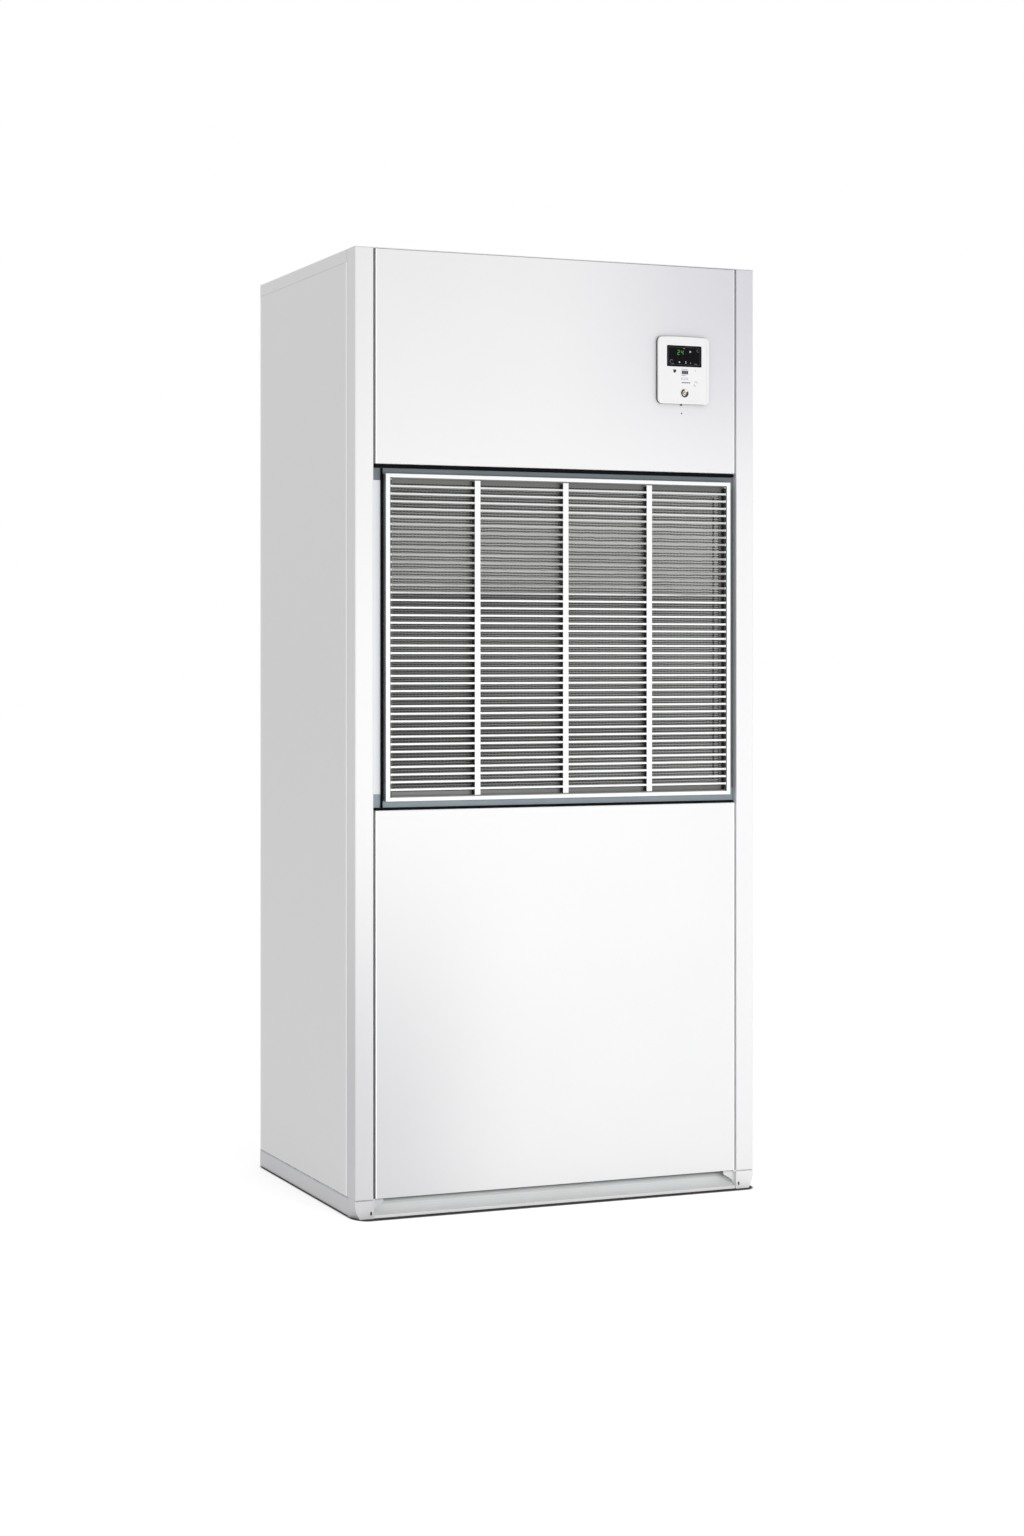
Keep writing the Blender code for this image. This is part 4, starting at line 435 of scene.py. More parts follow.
def lit_segment(name, rgba, strength):
    """Light-emitting segment behind the smoked window: an even glow, a little stronger in spots."""
    material, tree, shader, place = start(
        name, {"Roughness": 0.35, "Base Color": shade(rgba, 0.3), "Emission Strength": strength}
    )
    glow = add(tree, "TexNoise", {"Scale": 1000 / 2.5, "Detail": 1.0}, {"Vector": place})
    tone = add(tree, "Mix", {**RGBA, 6: shade(rgba, 0.55), 7: shade(rgba, 1.3)}, {0: glow})
    feed(shader, {"Emission Color": tone})
    return material


# Shapes

def new_piece(name, shape, material, body, sharp=30.0):
    """Turns a bmesh into a piece that rides on a body of the frame."""
    bmesh.ops.recalc_face_normals(shape, faces=shape.faces)
    mesh = bpy.data.meshes.new(name)
    shape.to_mesh(mesh)
    shape.free()
    if not mesh.polygons:
        raise RuntimeError(name + " has no faces")
    mesh.materials.append(material)
    mesh.shade_smooth()
    mesh.set_sharp_from_angle(angle=math.radians(sharp))
    piece = bpy.data.objects.new(name, mesh)
    bpy.context.scene.collection.objects.link(piece)
    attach(piece, body)
    return piece


def facing(spot, out):
    """A placing whose Z axis points out of the surface at a spot."""
    return Matrix.Translation(spot) @ Vector(out).to_track_quat("Z", "Y").to_matrix().to_4x4()


def ring(shape, place, radius, height, steps):
    """A circle of points at one height of a placing."""
    turns = [2 * math.pi * step / steps for step in range(steps)]
    return [
        shape.verts.new(place @ Vector((radius * math.cos(t), radius * math.sin(t), height))) for t in turns
    ]


def bridge(shape, first, second):
    """Walls between two closed loops of equally many points."""
    count = len(first)
    for index in range(count):
        after = (index + 1) % count
        shape.faces.new((first[index], first[after], second[after], second[index]))


def pan_head(shape, spot, out, radius, height):
    """A pan head with a cross recess, standing on the surface."""
    place = facing(spot, out)
    levels = [
        (radius, 0.0), (radius, height * 0.35), (radius * 0.90, height * 0.75), (radius * 0.68, height)
    ]
    rings = [ring(shape, place, r, z, 20) for r, z in levels]
    for first, second in zip(rings, rings[1:]):
        bridge(shape, first, second)
    shape.faces.new(rings[0])
    arm, half = radius * 0.52, radius * 0.14
    cross = [(half, arm), (-half, arm), (-half, half), (-arm, half), (-arm, -half), (-half, -half)]
    cross += [(-x, -y) for x, y in cross]
    top = [shape.verts.new(place @ Vector((x, y, height))) for x, y in cross]
    floor = [shape.verts.new(place @ Vector((x * 0.6, y * 0.6, height * 0.35))) for x, y in cross]
    bridge(shape, top, floor)
    shape.faces.new(floor)
    rim = [shape.edges.get((rings[-1][i], rings[-1][i - 1])) for i in range(20)]
    slot = [shape.edges.get((top[i], top[i - 1])) for i in range(12)]
    bmesh.ops.triangle_fill(shape, edges=rim + slot, use_beauty=True)


def hex_head(shape, spot, out, radius, height):
    """A hexagon head with a chamfered top on a washer."""
    place = facing(spot, out)
    washer = height * 0.28
    for first, second, low, high, steps in (
        (radius * 1.30, radius * 1.26, 0.0, washer, 24),
        (radius, radius, washer, height * 0.85, 6),
        (radius, radius * 0.86, height * 0.85, height, 6),
    ):
        middle = place @ Matrix.Translation((0.0, 0.0, (low + high) / 2))
        sizes = {"segments": steps, "radius1": first, "radius2": second, "depth": high - low}
        bmesh.ops.create_cone(shape, cap_ends=True, matrix=middle, **sizes)


def run(shape, section, first, last, across, out=(0.0, -1.0, 0.0)):
    """One section run in a straight line between two spots, as an extruded strip is."""
    ends = []
    for spot in (first, last):
        ends.append(
            [shape.verts.new(Vector(spot) + Vector(across) * u + Vector(out) * v) for u, v in section]
        )
    bridge(shape, *ends)
    for end in ends:
        shape.faces.new(end)


def seal_section(width, height):
    """A bulb seal's section: a flat foot under a half-round top."""
    turns = [math.pi * step / 10 for step in range(11)]
    return [(width / 2 * math.cos(turn), height * math.sin(turn)) for turn in turns]


def on_case(*spots):
    """Points on the controller's front, given in millimetres from its lower left corner."""
    return [(CASE[0].x + x * MM, CASE[0].z + z * MM) for x, z in spots]


def plate(shape, outline, y):
    """A flat mark on the front: an outline in X and Z, a hair thick, standing on the surface at y."""
    front = [shape.verts.new((x, y - FILM, z)) for x, z in outline]
    face = shape.faces.new(front)
    walls = bmesh.ops.extrude_face_region(shape, geom=[face])["geom"]
    back = [item for item in walls if isinstance(item, bmesh.types.BMVert)]
    bmesh.ops.translate(shape, verts=back, vec=(0.0, FILM, 0.0))


def patch(shape, low, high, y):
    """A rectangular mark between two corners."""
    plate(shape, [low, (high[0], low[1]), high, (low[0], high[1])], y)


def arc_band(shape, centre, inner, outer, first, last, y):
    """A flat curved band between two radii and two angles in degrees, seen from the front."""
    steps = max(4, int(abs(last - first) / 12))
    turns = [math.radians(first + (last - first) * step / steps) for step in range(steps + 1)]
    for start_turn, end_turn in zip(turns, turns[1:]):
        corners = [(inner, start_turn), (outer, start_turn), (outer, end_turn), (inner, end_turn)]
        plate(shape, [(centre[0] + r * math.cos(t), centre[1] + r * math.sin(t)) for r, t in corners], y)
    bmesh.ops.remove_doubles(shape, verts=shape.verts, dist=0.00001)


def outline_band(shape, corners, width, y):
    """A thin frame line round a rectangle of low and high corners."""
    (x0, z0), (x1, z1) = corners
    for low, high in (
        ((x0, z0), (x1, z0 + width)), ((x0, z1 - width), (x1, z1)),
        ((x0, z0), (x0 + width, z1)), ((x1 - width, z0), (x1, z1)),
    ):
        patch(shape, low, high, y)


# Seven-segment digits, as the bars that each number lights.
# They count from the top: top, upper left, upper right, middle, lower left, lower right, bottom.
DIGIT_BARS = {2: (0, 2, 3, 4, 6), 4: (1, 2, 3, 5)}


def digit(shape, number, x, z, height, y):
    """One number of the display, with its lower left corner at x and z."""
    width, stroke, gap = height * 0.55, height * 0.13, height * 0.02
    half = height / 2
    across, up = (stroke / 2 + gap, width - stroke / 2 - gap), (stroke / 2 + gap, half - stroke / 2 - gap)
    for index in DIGIT_BARS[number]:
        if index in (0, 3, 6):
            middle = {0: height - stroke / 2, 3: half, 6: stroke / 2}[index]
            low, high = (across[0], middle - stroke / 2), (across[1], middle + stroke / 2)
        else:
            side = 0.0 if index in (1, 4) else width - stroke
            base = half if index in (1, 2) else 0.0
            low, high = (side, base + up[0]), (side + stroke, base + up[1])
        cut = stroke * 0.35
        points = [
            (low[0] + cut, low[1]), (high[0] - cut, low[1]), (high[0], low[1] + cut),
            (high[0], high[1] - cut)
        ]
        points += [
            (high[0] - cut, high[1]), (low[0] + cut, high[1]), (low[0], high[1] - cut),
            (low[0], low[1] + cut)
        ]
        plate(shape, [(x + px, z + pz) for px, pz in points], y)


# Pieces

class FinishCabinet(bpy.types.Operator):
    """Paints the folded steel cabinet and its recessed strips"""
    bl_idname = "air_unit.finish_cabinet"
    bl_label = "Finish Cabinet"

    def execute(self, context):
        colours = settings().colours
        # Painted shade greys the cabinet and the doors a little towards the upper right and lower left.
        white = shaded_corners(powder_coat("powder_coat_white_on_steel", colours.cabinet))
        dress(white, "rear_panel_lower", "rear_panel_upper", "top_cap", "post_front_l", "post_front_r")
        dress(white, "rail_side_l", "rail_side_r", "rail_rear", "shoe_l", "shoe_r")
        doors = shaded_corners(powder_coat("powder_coat_white_on_doors", colours.cabinet))
        # Painted highlights on the folded edges: 1.8 mm of them on the doors, and 4 mm on the side panels.
        dress(edge_highlighted(doors, "X", 0.0, UPPER_PANEL[1].x - 1.8 * MM), "upper_panel", "lower_panel")
        low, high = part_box("side_panel_l")
        sides = powder_coat("powder_coat_white_on_side_panels", colours.cabinet)
        edge_highlighted(sides, "Y", (low.y + high.y) / 2, (high.y - low.y) / 2 - 4.0 * MM)
        dress(sides, "side_panel_l", "side_panel_r")
        # The coved rail is a glossier white, painted brighter than the cabinet as painted light, and darker
        # high up under the lower panel as painted shade.
        rail = powder_coat("powder_coat_gloss_white_on_rail", linear("#fbfbfb"), roughness=0.30)
        tree, shader, base_tone, place, axes = reopen(rail)
        shader.inputs["Specular IOR Level"].default_value = 0.9
        low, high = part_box("rail_front")
        span = {**SMOOTH, "From Min": low.z + (high.z - low.z) * 0.50, "From Max": high.z}
        dust_and_shade = add(tree, "MapRange", span, {"Value": axes["Z"]})
        feed(shader, {"Base Color": add(tree, "Mix", {**RGBA, 7: linear("#5e5e5e")}, {0: dust_and_shade, 6: base_tone})})
        dress(rail, "rail_front")
        # The cloudy darker patches are painted reflections in the glossy strips, and the top and right
        # strips are darker copies of the paint, as painted shade.
        for node, where, factor, spread, cloud_mm in (
            ("surround_bottom", "on_steel", 1.0, 0.30, 150.0),
            ("surround_top", "in_shade", 0.60, 0.30, 150.0),
            ("surround_right", "on_strip", 0.42, 0.10, 260.0),
        ):
            tint = shade(colours.surround, factor)
            name = "powder_coat_blue_grey_" + where
            dress(powder_coat(name, tint, roughness=0.48, spread=spread, cloud_mm=cloud_mm), node)
        # The left strip is painted pale as a painted reflection.
        dress(powder_coat("powder_coat_painted_reflection_on_strip", colours.surround_left), "surround_left")
        return {"FINISHED"}


class FinishGrille(bpy.types.Operator):
    """Paints the grille and gives the filter its frame and woven netting"""
    bl_idname = "air_unit.finish_grille"
    bl_label = "Finish Grille and Filter"

    def execute(self, context):
        colours = settings().colours
        white = powder_coat(
            "powder_coat_white_on_aluminium", colours.grille, roughness=0.36, peel_mm=5.0, depth=0.03
        )
        # The frame's outer sides are painted dark grey, its inner edge black and its lip grey, as painted
        # shade in the gap round it and in the opening behind it.
        tree, shader, base_tone, place, axes = reopen(white)
        # Each mask is 1 up to so many millimetres from the frame's edge, counted along X or Z.
        face, wide, lip, tall = (
            add(
                tree, "Math", {**COMPARE, 1: GRILLE_MIDDLE[axis], 2: GRILLE_HALF[axis] - inset * MM},
                {0: axes[axis]}
            )
            for axis, inset in ((0, 0.3), (0, 8.8), (0, 12.9), (2, 7.2))
        )
        side_shade = add(tree, "Mix", {**RGBA, 6: linear("#6c6c70")}, {0: face, 7: base_tone})
        inner = add(tree, "Math", MULTIPLY, {0: wide, 1: tall})
        opening_shade = add(tree, "Mix", {**RGBA, 6: linear("#0e0f10"), 7: linear("#6d6e6b")}, {0: lip})
        feed(shader, {"Base Color": add(tree, "Mix", RGBA, {0: inner, 6: side_shade, 7: opening_shade})})
        dress(white, "grille_frame")
        dress(dusted_and_shaded_coat("powder_coat_white_on_blades", colours.grille, colours.dust), "grille_core")
        # The netting is wrapped round its wire frame, so both show the same weave.
        dress(woven_netting(), "filter_net", "filter_frame")
        return {"FINISHED"}


class FinishAirSide(bpy.types.Operator):
    """Finishes the decks, the coil, the scroll housing and the wheel"""
    bl_idname = "air_unit.finish_air_side"
    bl_label = "Finish Air Side"

    def execute(self, context):
        zinc = galvanised_sheet()
        dress(
            zinc, "base_pan", "post_rear_l", "post_rear_r", "deck_lower", "deck_upper", "drain_pan",
            "scroll_wrap", "scroll_side_l", "scroll_side_r", "blower_wheel", "blower_base",
            "discharge_collar", "coil_plate_l", "coil_plate_r", "bearing_stand_l", "bearing_stand_r",
            "motor_base"
        )
        dress(stacked_fins(), "coil_fins")
        return {"FINISHED"}


class FinishDrive(bpy.types.Operator):
    """Finishes the shafts, bearings, pulleys, belt and motor"""
    bl_idname = "air_unit.finish_drive"
    bl_label = "Finish Belt Drive"

    def execute(self, context):
        # Ground bar: bright, with fine rings round the axis.
        dress(
            drawn_metal("steel_ground_bar", "#9a9c9e", "#c3c5c7", 0.24, along=(4.0, 0.5, 0.5)),
            "blower_shaft", "motor_shaft"
        )
        # Sand-cast iron under machine paint: dark and grainy.
        cast = rough_coat("cast_iron_painted", "#3d4246", "#51575b", 0.55, 2.5, 0.5)
        dress(cast, "bearing_l", "bearing_r", "blower_pulley", "motor_pulley")
        # Sprayed machine enamel over a casting: smoother and glossier than the bearings.
        dress(
            rough_coat("machine_enamel_grey_blue", "#4d5a63", "#5c6a73", 0.34, 4.0, 0.3, strength=0.15),
            "motor"
        )
        # Wrapped rubber: matt, with a cloth-like grain and a little dust.
        dress(rough_coat("rubber_wrapped_belt", "#1a1a1c", "#2b2b2c", 0.78, 1.5, 0.2), "belt")
        return {"FINISHED"}


class FinishCoolingSide(bpy.types.Operator):
    """Finishes the compressor, the condenser, the pipes and the control box"""
    bl_idname = "air_unit.finish_cooling_side"
    bl_label = "Finish Cooling Side"

    def execute(self, context):
        # Baked enamel over a drawn shell: near black, semi-gloss.
        dress(
            rough_coat("enamel_black_on_drawn_steel", "#18191b", "#26282a", 0.30, 6.0, 0.4, strength=0.12),
            "compressor"
        )
        # Brushed-on grey enamel over a rolled shell.
        dress(
            rough_coat(
                "enamel_dark_grey_on_rolled_steel", "#3a4045", "#4b5257", 0.42, 5.0, 0.5, strength=0.2
            ),
            "condenser"
        )
        dress(galvanised_sheet("galvanised_strip_hot_dipped"), "condenser_cradle")
        # Drawn tube, dulled by handling and brazing.
        copper = drawn_metal("copper_drawn_tube", "#8f5a3c", "#c88a66", 0.34, along=(1.0, 1.0, 0.2))
        dress(copper, "pipe_discharge", "pipe_suction", "pipe_liquid")
        box = powder_coat("powder_coat_grey_on_control_box", linear("#c9cccd"), roughness=0.46)
        dress(box, "control_box")
        return {"FINISHED"}


class FinishController(bpy.types.Operator):
    """Finishes the controller's case, window and keys"""
    bl_idname = "air_unit.finish_controller"
    bl_label = "Finish Controller"

    def execute(self, context):
        colours = settings().colours
        # Injection-moulded in a spark-eroded tool: fine matt grain, cleaner white than the powder coat.
        shell = rough_coat("abs_moulded_white", "#ececed", "#f1f1f2", 0.42, 1.2, 0.1, strength=0.15)
        dress(shell, "controller_case", "mode_key")
        # The rear two thirds of the case are painted near black, as painted shade on its sides and in the
        # gap at the panel.
        tree, shader, white, place, axes = reopen(shell)
        parting = CASE[0].y * 0.64 + CASE[1].y * 0.36
        rear = add(tree, "Math", {"operation": "GREATER_THAN", 1: parting}, {0: axes["Y"]})
        feed(shader, {"Base Color": add(tree, "Mix", {**RGBA, 7: linear("#141517")}, {0: rear, 6: white})})
        # Cast acrylic with a smoke tint and a low-glare coat: nearly black, faintly wiped.
        window, tree, shader, place = start(
            "acrylic_smoked_window", {"IOR": 1.49, "Roughness": 0.10, "Specular IOR Level": 0.08}
        )
        wipe = add(
            tree, "TexNoise", {"Scale": 1000 / 9, "Detail": 5.0, "Distortion": 1.5}, {"Vector": place}
        )
        smear = add(tree, "MapRange", {"To Min": 0.07, "To Max": 0.20}, {"Value": wipe})
        tone = add(tree, "Mix", {**RGBA, 6: colours.window, 7: linear("#0f0f12")}, {0: wipe})
        feed(shader, {"Base Color": tone, "Roughness": smear})
        dress(window, "display_window")
        # Spun and anodised aluminium: pale gold, satin, with rings from the lathe.
        gold = drawn_metal(
            "aluminium_anodised_gold", "#e4dec4", "#f6f2e2", 0.32, along=(1.0, 1.0, 6.0), grain_mm=1.2,
            metallic=0.55
        )
        dress(gold, "power_button")
        return {"FINISHED"}


class AddPanelScrews(bpy.types.Operator):
    """Adds the pan-head screws of the rear panels and the spigot"""
    bl_idname = "air_unit.add_panel_screws"
    bl_label = "Add Panel Screws"

    def execute(self, context):
        sizes = settings().sizes
        zinc = drawn_metal("steel_zinc_plated_screw", "#9fa3a5", "#cdd0d1", 0.30, grain_mm=1.0)
        screws = bmesh.new()
        # One row up each side of each rear panel, where the rear angles stand.
        inset, margin, gaps = 12 * MM, 30 * MM, 3
        for low, high in REAR_PANELS:
            for x in (low.x + inset, high.x - inset):
                for step in range(gaps + 1):
                    z = low.z + margin + (high.z - low.z - 2 * margin) * step / gaps
                    pan_head(screws, (x, high.y, z), (0, 1, 0), sizes.screw_radius, sizes.screw_height)
        new_piece("screws_rear_panels", screws, zinc, "cabinet")
        flange = bmesh.new()
        low, high = COLLAR
        # The flange lies on the top cap, 3.9 mm above the upper panel's edge.
        top, inset = UPPER_PANEL[1].z + 3.9 * MM, 7 * MM
        for x in (low.x + inset, (low.x + high.x) / 2, high.x - inset):
            for y in (low.y + inset, high.y - inset):
                pan_head(flange, (x, y, top), (0, 0, 1), sizes.screw_radius, sizes.screw_height)
        new_piece("screws_spigot_flange", flange, zinc, "cabinet")
        return {"FINISHED"}


class AddFootBolts(bpy.types.Operator):
    """Adds the hexagon bolts that hold down the bearings and the motor's base"""
    bl_idname = "air_unit.add_foot_bolts"
    bl_label = "Add Foot Bolts"

    def execute(self, context):
        sizes = settings().sizes
        zinc = drawn_metal("steel_zinc_plated_bolt", "#94989a", "#c4c8c9", 0.34, grain_mm=1.5)
        bolts = bmesh.new()
        foot = 12 * MM
        for low, high in BEARINGS:
            for y in (low.y + foot, high.y - foot):
                hex_head(
                    bolts, ((low.x + high.x) / 2, y, low.z + foot), (0, 0, 1), sizes.bolt_radius,
                    sizes.bolt_height
                )
        low, high = MOTOR_BASE
        for x in (low.x + foot, high.x - foot):
            for y in (low.y + foot, high.y - foot):
                hex_head(bolts, (x, y, high.z), (0, 0, 1), sizes.bolt_radius, sizes.bolt_height)
        new_piece("bolts_belt_drive", bolts, zinc, "cabinet")
        return {"FINISHED"}


class AddShadowSeals(bpy.types.Operator):
    """Adds near-black rubber seals under the upper panel, over the lower panel and beside the grille, as
    painted shade in the gaps there
    """
    bl_idname = "air_unit.add_seals"
    bl_label = "Add Seals"

    def execute(self, context):
        clear, proud = 0.3 * MM, 11 * MM
        face = SURROUND_TOP[0].y - 0.1 * MM
        # Extruded rubber, matt black with a faint drag along its length, put there as painted shade for the
        # shadow in the gaps.
        rubber = rough_coat(
            "rubber_seal_as_painted_shade", "#060708", "#0d0f10", 0.75, 2.0, 0.1, strength=0.2, cloud_mm=25.0
        )
        rubber.node_tree.nodes["Principled BSDF"].inputs["Specular IOR Level"].default_value = 0.1
        seals = bmesh.new()
        left, right = UPPER_PANEL[0].x, UPPER_PANEL[1].x
        upper, lower, beside = 7.0 * MM, 4.2 * MM, 3.8 * MM
        z = UPPER_PANEL[0].z - clear - upper / 2
        run(seals, seal_section(upper, proud), (left, face, z), (right, face, z), (0, 0, 1))
        z = LOWER_PANEL[1].z + 2 * clear + lower / 2
        run(seals, seal_section(lower, proud), (left, face, z), (right, face, z), (0, 0, 1))
        x = GRILLE_FRAME[0].x - 2 * clear - beside / 2
        ends = (LOWER_PANEL[1].z + lower + 4 * clear, UPPER_PANEL[0].z - upper - 4 * clear)
        run(seals, seal_section(beside, 0.6 * proud), (x, face, ends[0]), (x, face, ends[1]), (1, 0, 0))
        new_piece("shadow_seals_panels_and_grille", seals, rubber, "cabinet")
        return {"FINISHED"}


# Printing ink lies flat and dull, with a tone that hardly changes.
INK = {"roughness": 0.5, "grain_mm": 1.0, "depth_mm": 0.02, "cloud_mm": 3.0}


class AddDisplayMarks(bpy.types.Operator):
    """Adds the display's digits, dot, icons and border line"""
    bl_idname = "air_unit.add_display_marks"
    bl_label = "Add Display Marks"

    def execute(self, context):
        values = settings()
        face = WINDOW[0].y
        height = values.sizes.digit_height
        # Light-emitting diodes behind the smoked window: saturated, and the brightest spot of the front.
        green = lit_segment("diode_green_lit", values.colours.digits, 0.62)
        digits = bmesh.new()
        for index, number in enumerate((2, 4)):
            (x, z), = on_case((42.5 + index * height / MM * 0.82, 97.4))
            digit(digits, number, x, z, height, face)
        new_piece("display_digits", digits, green, "panel_upper")
        amber = lit_segment("diode_amber_lit", linear("#b8632c"), 0.7)
        alert = bmesh.new()
        patch(alert, *on_case((55.5, 109.8), (59.5, 111.0)), face)
        new_piece("display_alert", alert, amber, "panel_upper")

        # Screen print behind the window: dim grey until it is lit.
        pale = rough_coat("screen_print_pale", "#9b9ea0", "#c2c4c5", **INK)
        bright = bmesh.new()
        for spot, radius in (((71.0, 104.5), 1.9), ((47.2, 83.2), 1.6), ((61.0, 84.4), 1.1)):
            arc_band(bright, on_case(spot)[0], 0.0, radius * MM, 0, 360, face)
        plate(bright, on_case((60.0, 80.8), (63.0, 80.8), (61.5, 83.6)), face)
        new_piece("display_icons_bright", bright, pale, "panel_upper")
        dim = rough_coat("screen_print_dim", "#4b4d50", "#66686b", **INK)
        faint = bmesh.new()
        margin = 3.2 * MM
        corners = (
            (WINDOW[0].x + margin, WINDOW[0].z + margin), (WINDOW[1].x - margin, WINDOW[1].z - margin)
        )
        outline_band(faint, corners, 0.30 * MM, face)
        arc_band(faint, on_case((29.5, 84.5))[0], 2.6 * MM, 3.7 * MM, 20, 250, face)
        arc_band(faint, on_case((88.5, 107.0))[0], 2.2 * MM, 3.0 * MM, 90, 330, face)
        for low, high in (
            ((29.5, 79.6), (34.5, 80.8)), ((70.5, 81.0), (73.0, 83.2)), ((80.0, 79.8), (86.5, 81.0))
        ):
            patch(faint, *on_case(low, high), face)
        new_piece("display_icons_dim", faint, dim, "panel_upper")
        return {"FINISHED"}


class AddCaseMarks(bpy.types.Operator):
    """Adds the controller's printed marks, the mode key's sign, the bottom catch and the panel's plug"""
    bl_idname = "air_unit.add_case_marks"
    bl_label = "Add Case Marks"

    def execute(self, context):
        face = CASE[0].y + 1.0 * MM
        # Pad-printed ink: flat and dull beside the moulded white.
        black = rough_coat("ink_pad_printed_black", "#17181a", "#2a2b2e", **INK)
        marks = bmesh.new()
        plate(marks, on_case((33.2, 68.2), (40.2, 68.2), (40.2, 64.6), (37.6, 61.4), (34.2, 62.4)), face)
        new_piece("case_marks_black", marks, black, "panel_upper")

        # The mode key's sign: three upright bars.
        low, high = MODE_KEY
        sign = bmesh.new()
        wide, tall = 4.2 * MM, 6.6 * MM
        base = (low.z + high.z - tall) / 2
        for index in range(3):
            x = low.x + 1.6 * MM + index * (wide + 0.5 * MM)
            patch(sign, (x, base), (x + wide, base + tall), low.y)
        new_piece("mode_key_sign", sign, black, "key_mode")

        grey = rough_coat("ink_pad_printed_grey", "#3c3d42", "#55565b", **INK)
        dashes = bmesh.new()
        for index in range(5):
            left = 52.0 + 3.9 * index
            patch(dashes, *on_case((left, 41.7), (left + 3.3, 43.7)), face)
        new_piece("case_marks_grey", dashes, grey, "panel_upper")
        pale = rough_coat("ink_pad_printed_light_grey", "#98989e", "#acacb2", **INK)
        faint = bmesh.new()
        outline_band(faint, on_case((51.5, 48.6), (65.5, 52.4)), 0.7 * MM, face)
        for low, high in (
            ((52.0, 56.2), (61.0, 57.4)), ((51.5, 68.6), (66.0, 69.6)), ((81.5, 66.0), (83.3, 67.8))
        ):
            patch(faint, *on_case(low, high), face)
        for spot, first, last in (((84.0, 43.5), -60, 200), ((81.5, 38.5), 120, 340)):
            arc_band(faint, on_case(spot)[0], 1.6 * MM, 2.6 * MM, first, last, face)
        new_piece("case_marks_faint", faint, pale, "panel_upper")

        # A spring catch under the case, and a plug in the panel below it.
        steel = drawn_metal("steel_blackened_catch", "#3a3b3f", "#55565b", 0.42, grain_mm=1.0)
        catch = bmesh.new()
        (x, z), = on_case((54.8, 0.0))
        front = UPPER_PANEL[0].y
        section = [(-1.7 * MM, 0.0), (1.7 * MM, 0.0), (1.2 * MM, 3.4 * MM), (-1.2 * MM, 3.4 * MM)]
        run(catch, section, (x, front, z - 2.6 * MM), (x, front, z - 0.3 * MM), (1, 0, 0))
        new_piece("case_catch", catch, steel, "panel_upper")
        plug = bmesh.new()
        (x, z), = on_case((56.4, -18.0))
        pan_head(plug, (x, front, z), (0, -1, 0), 1.5 * MM, 0.9 * MM)
        new_piece("panel_plug", plug, steel, "panel_upper")
        return {"FINISHED"}


class AddButtonRing(bpy.types.Operator):
    """Adds the dark arcs round the power button, which are painted shade, and the sign in its middle"""
    bl_idname = "air_unit.add_button_ring"
    bl_label = "Add Button Ring"

    def execute(self, context):
        low, high = POWER_BUTTON
        centre = ((low.x + high.x) / 2, (low.z + high.z) / 2)
        radius = (high.x - low.x) / 2
        # Black enamel, slightly sunken in tone: the inner arc and the bar are the sign filled into the
        # engraving, and the three outer arcs are painted shade round the button's edge.
        black = rough_coat("enamel_fill_and_edge_shade_black", "#1c1b17", "#2e2c26", **{**INK, "roughness": 0.4})
        marks = bmesh.new()
        for inner, outer, first, last in (
            (0.58, 1.0, 95, 205), (0.50, 1.0, -80, 30), (0.66, 1.0, 210, 275), (0.30, 0.46, 125, 415),
        ):
            arc_band(marks, centre, radius * inner, radius * outer, first, last, low.y)
        x, z = centre
        half = radius * 0.08
        patch(marks, (x - half, z), (x + half, z + radius * 0.5), low.y)
        new_piece("button_arcs", marks, black, "key_power")
        return {"FINISHED"}


# Stage

def build_floor(scene, lift):
    """The paper floor, with a painted shadow round the unit's footprint."""
    shape = bmesh.new()
    bmesh.ops.create_grid(shape, x_segments=8, y_segments=8, size=40.0)
    mesh = bpy.data.meshes.new("studio_floor")
    shape.to_mesh(mesh)
    shape.free()
    floor = bpy.data.objects.new("studio_floor", mesh)
    scene.collection.objects.link(floor)
    # Matt white paper: a lift for camera and glossy rays takes it to white.
    # The lift leaves the unit's soft shadow.
    material, tree, shader, place = start("studio_paper_white", {"Roughness": 0.9})
    pulp = add(tree, "TexNoise", {"Scale": 3.0, "Detail": 3.0}, {"Vector": place})
    tone = add(tree, "Mix", {**RGBA, 6: linear("#e9e9e9"), 7: linear("#ededed")}, {0: pulp})
    # The painted shadow reaches about 26 mm in front and behind, and 7 mm at the sides.
    axes = add(tree, "SeparateXYZ", {}, {"Vector": place}).outputs
    squares = []
    for axis, half, reach in (("X", CAD_BOX[1][0], 7 * MM), ("Y", REAR_PANELS[0][1].y, 26 * MM)):
        span = add(tree, "Math", {"operation": "ABSOLUTE"}, {0: axes[axis]})
        limits = {"From Min": half - 25 * MM, "From Max": half + reach, "clamp": False}
        share = add(tree, "MapRange", limits, {"Value": span})
        kept = add(tree, "Math", {"operation": "MAXIMUM", 1: 0.0}, {0: share})
        squares.append(add(tree, "Math", {"operation": "POWER", 1: 2.0}, {0: kept}))
    away = add(tree, "Math", {"operation": "ADD"}, {0: squares[0], 1: squares[1]})
    clear = add(tree, "MapRange", {**SMOOTH, "From Min": 0.62, "From Max": 1.0}, {"Value": away})
    feed(shader, {"Base Color": add(tree, "Mix", {**RGBA, 6: linear("#202020")}, {0: clear, 7: tone})})
    path = add(tree, "LightPath").outputs
    rays = {0: path["Is Camera Ray"], 1: path["Is Glossy Ray"]}
    seen = add(tree, "Math", {"operation": "ADD", "use_clamp": True}, rays)
    level = add(tree, "Math", {**MULTIPLY, 1: lift}, {0: seen})
    # The lift is taken away inside the painted shadow too.
    level = add(tree, "Math", MULTIPLY, {0: level, 1: clear})
    white = add(tree, "Emission", {"Color": (1.0, 1.0, 1.0, 1.0)}, {"Strength": level})
    both = add(tree, "AddShader", {}, {0: shader, 1: white})
    feed(tree.nodes["Material Output"], {"Surface": both})
    mesh.materials.append(material)


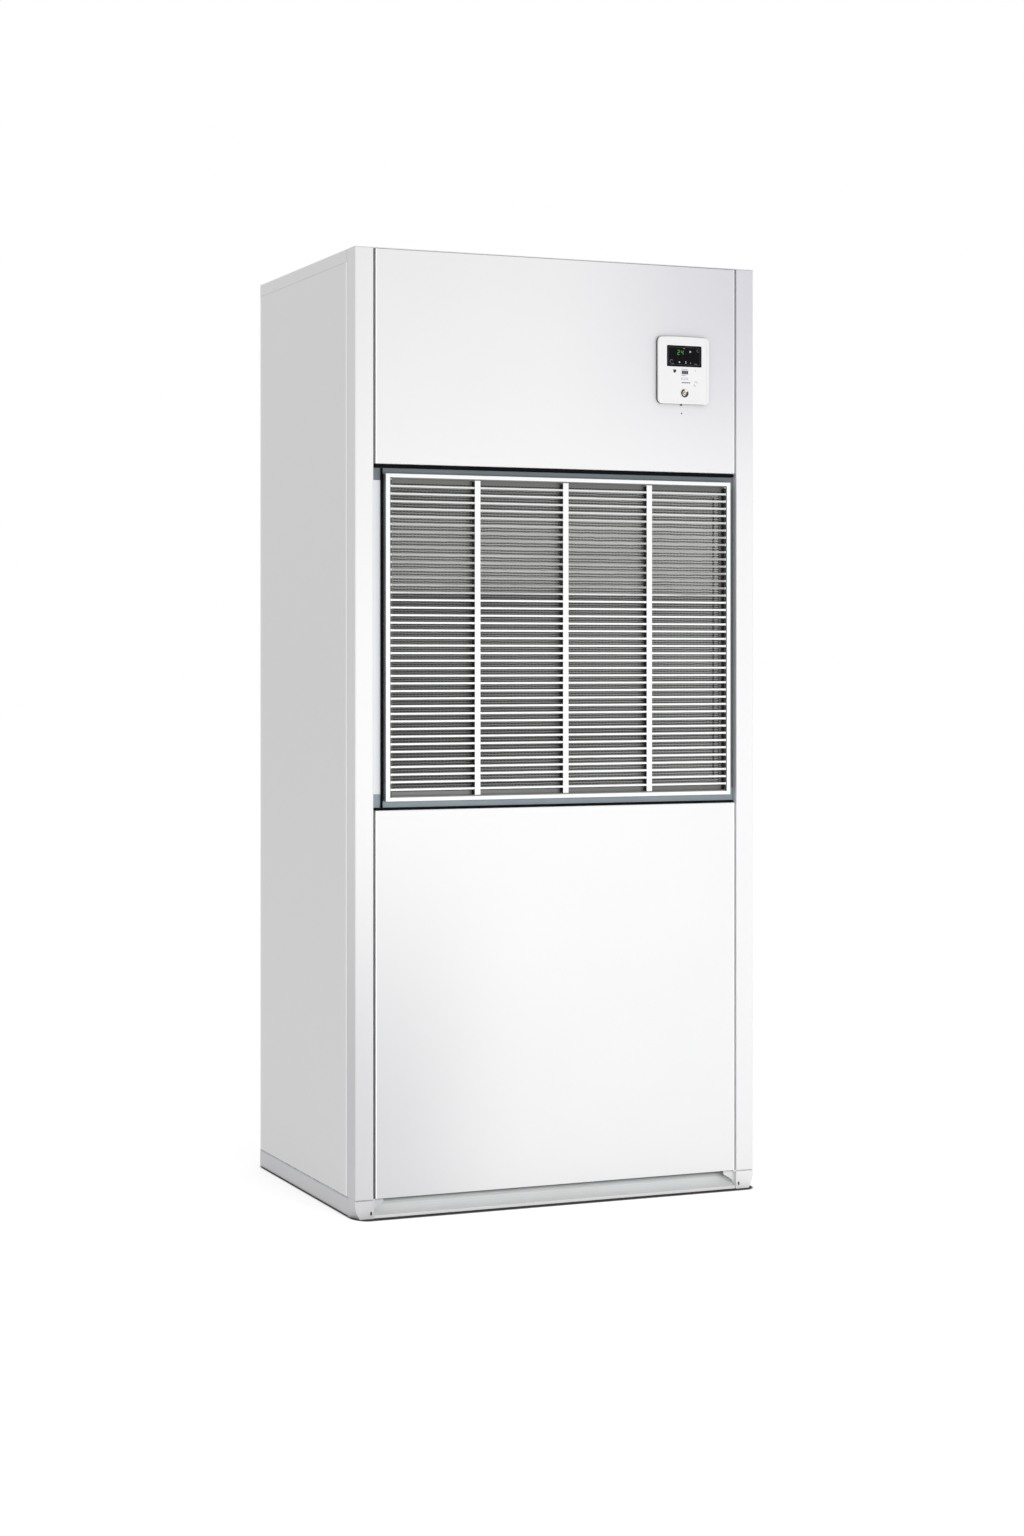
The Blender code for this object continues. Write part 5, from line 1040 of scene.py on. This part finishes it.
def build_light(scene, fill, power):
    """An even white room, and one large softbox low at the front right."""
    world = bpy.data.worlds.new("studio_light")
    world.use_nodes = True
    scene.world = world
    sky = world.node_tree
    plain = sky.nodes["Background"]
    plain.inputs["Color"].default_value = (1.0, 1.0, 1.0, 1.0)
    # Camera, glossy and transmission rays see plain white, and the others the level of the fill.
    path = add(sky, "LightPath").outputs
    seen = path["Is Camera Ray"]
    for ray in ("Is Glossy Ray", "Is Transmission Ray"):
        seen = add(sky, "Math", {"operation": "MAXIMUM"}, {0: seen, 1: path[ray]})
    feed(plain, {"Strength": add(sky, "MapRange", {"To Min": fill, "To Max": 1.0}, {"Value": seen})})

    lamp = bpy.data.lights.new("key_softbox", "AREA")
    lamp.shape = "RECTANGLE"
    lamp.size, lamp.size_y = 1.8, 1.0
    lamp.energy = power
    key = bpy.data.objects.new("key_softbox", lamp)
    key.location = (0.4, -2.9, 0.9)
    key.rotation_euler = (Vector((0.0, -0.3, 0.9)) - key.location).to_track_quat("-Z", "Y").to_euler()
    scene.collection.objects.link(key)


def build_camera(scene, studio):
    """The level camera, at the photograph's angle."""
    lens = bpy.data.cameras.new("photo_camera")
    lens.sensor_width = 36.0
    lens.lens = studio.focal
    lens.shift_y = studio.rise
    camera = bpy.data.objects.new("photo_camera", lens)
    camera.location = studio.eye
    camera.rotation_euler = (math.radians(90), 0.0, -studio.turn)
    scene.collection.objects.link(camera)
    scene.camera = camera


class BuildStudio(bpy.types.Operator):
    """Builds the floor, the soft lamps and the camera"""
    bl_idname = "air_unit.build_studio"
    bl_label = "Build Studio"

    def execute(self, context):
        studio = settings().studio
        context.scene.view_settings.view_transform = "Standard"
        build_floor(context.scene, studio.lift)
        build_light(context.scene, studio.fill, studio.key)
        build_camera(context.scene, studio)
        return {"FINISHED"}


OPERATORS = (
    BuildStudio, FinishCabinet, FinishGrille, FinishAirSide, FinishDrive, FinishCoolingSide,
    FinishController, AddPanelScrews, AddFootBolts, AddShadowSeals, AddDisplayMarks, AddCaseMarks,
    AddButtonRing,
)


class UnitPanel(bpy.types.Panel):
    """Lists the settings and the steps"""
    bl_idname = "VIEW3D_PT_air_unit"
    bl_label = "Air Unit"
    bl_space_type = "VIEW_3D"
    bl_region_type = "UI"
    bl_category = "Air Unit"

    def draw(self, context):
        values = context.scene.air_unit
        for group in (values.colours, values.sizes, values.studio):
            box = self.layout.box()
            for name in group.__annotations__:
                box.prop(group, name)
        for operator in OPERATORS:
            self.layout.operator(operator.bl_idname)


CLASSES = (UnitColours, UnitSizes, UnitStudio, UnitSettings, *OPERATORS, UnitPanel)


def register():
    """Adds the classes and the scene's settings."""
    for item in CLASSES:
        bpy.utils.register_class(item)
    bpy.types.Scene.air_unit = PointerProperty(type=UnitSettings)


def unregister():
    """Takes the classes and the settings away."""
    del bpy.types.Scene.air_unit
    for item in reversed(CLASSES):
        bpy.utils.unregister_class(item)


def main():
    """Dresses the frame."""
    register()
    steps = bpy.ops.air_unit
    steps.build_studio()
    steps.finish_cabinet()
    steps.finish_grille()
    steps.finish_air_side()
    steps.finish_drive()
    steps.finish_cooling_side()
    steps.finish_controller()
    steps.add_panel_screws()
    steps.add_foot_bolts()
    steps.add_seals()
    steps.add_display_marks()
    steps.add_case_marks()
    steps.add_button_ring()


if __name__ == "__main__":
    main()
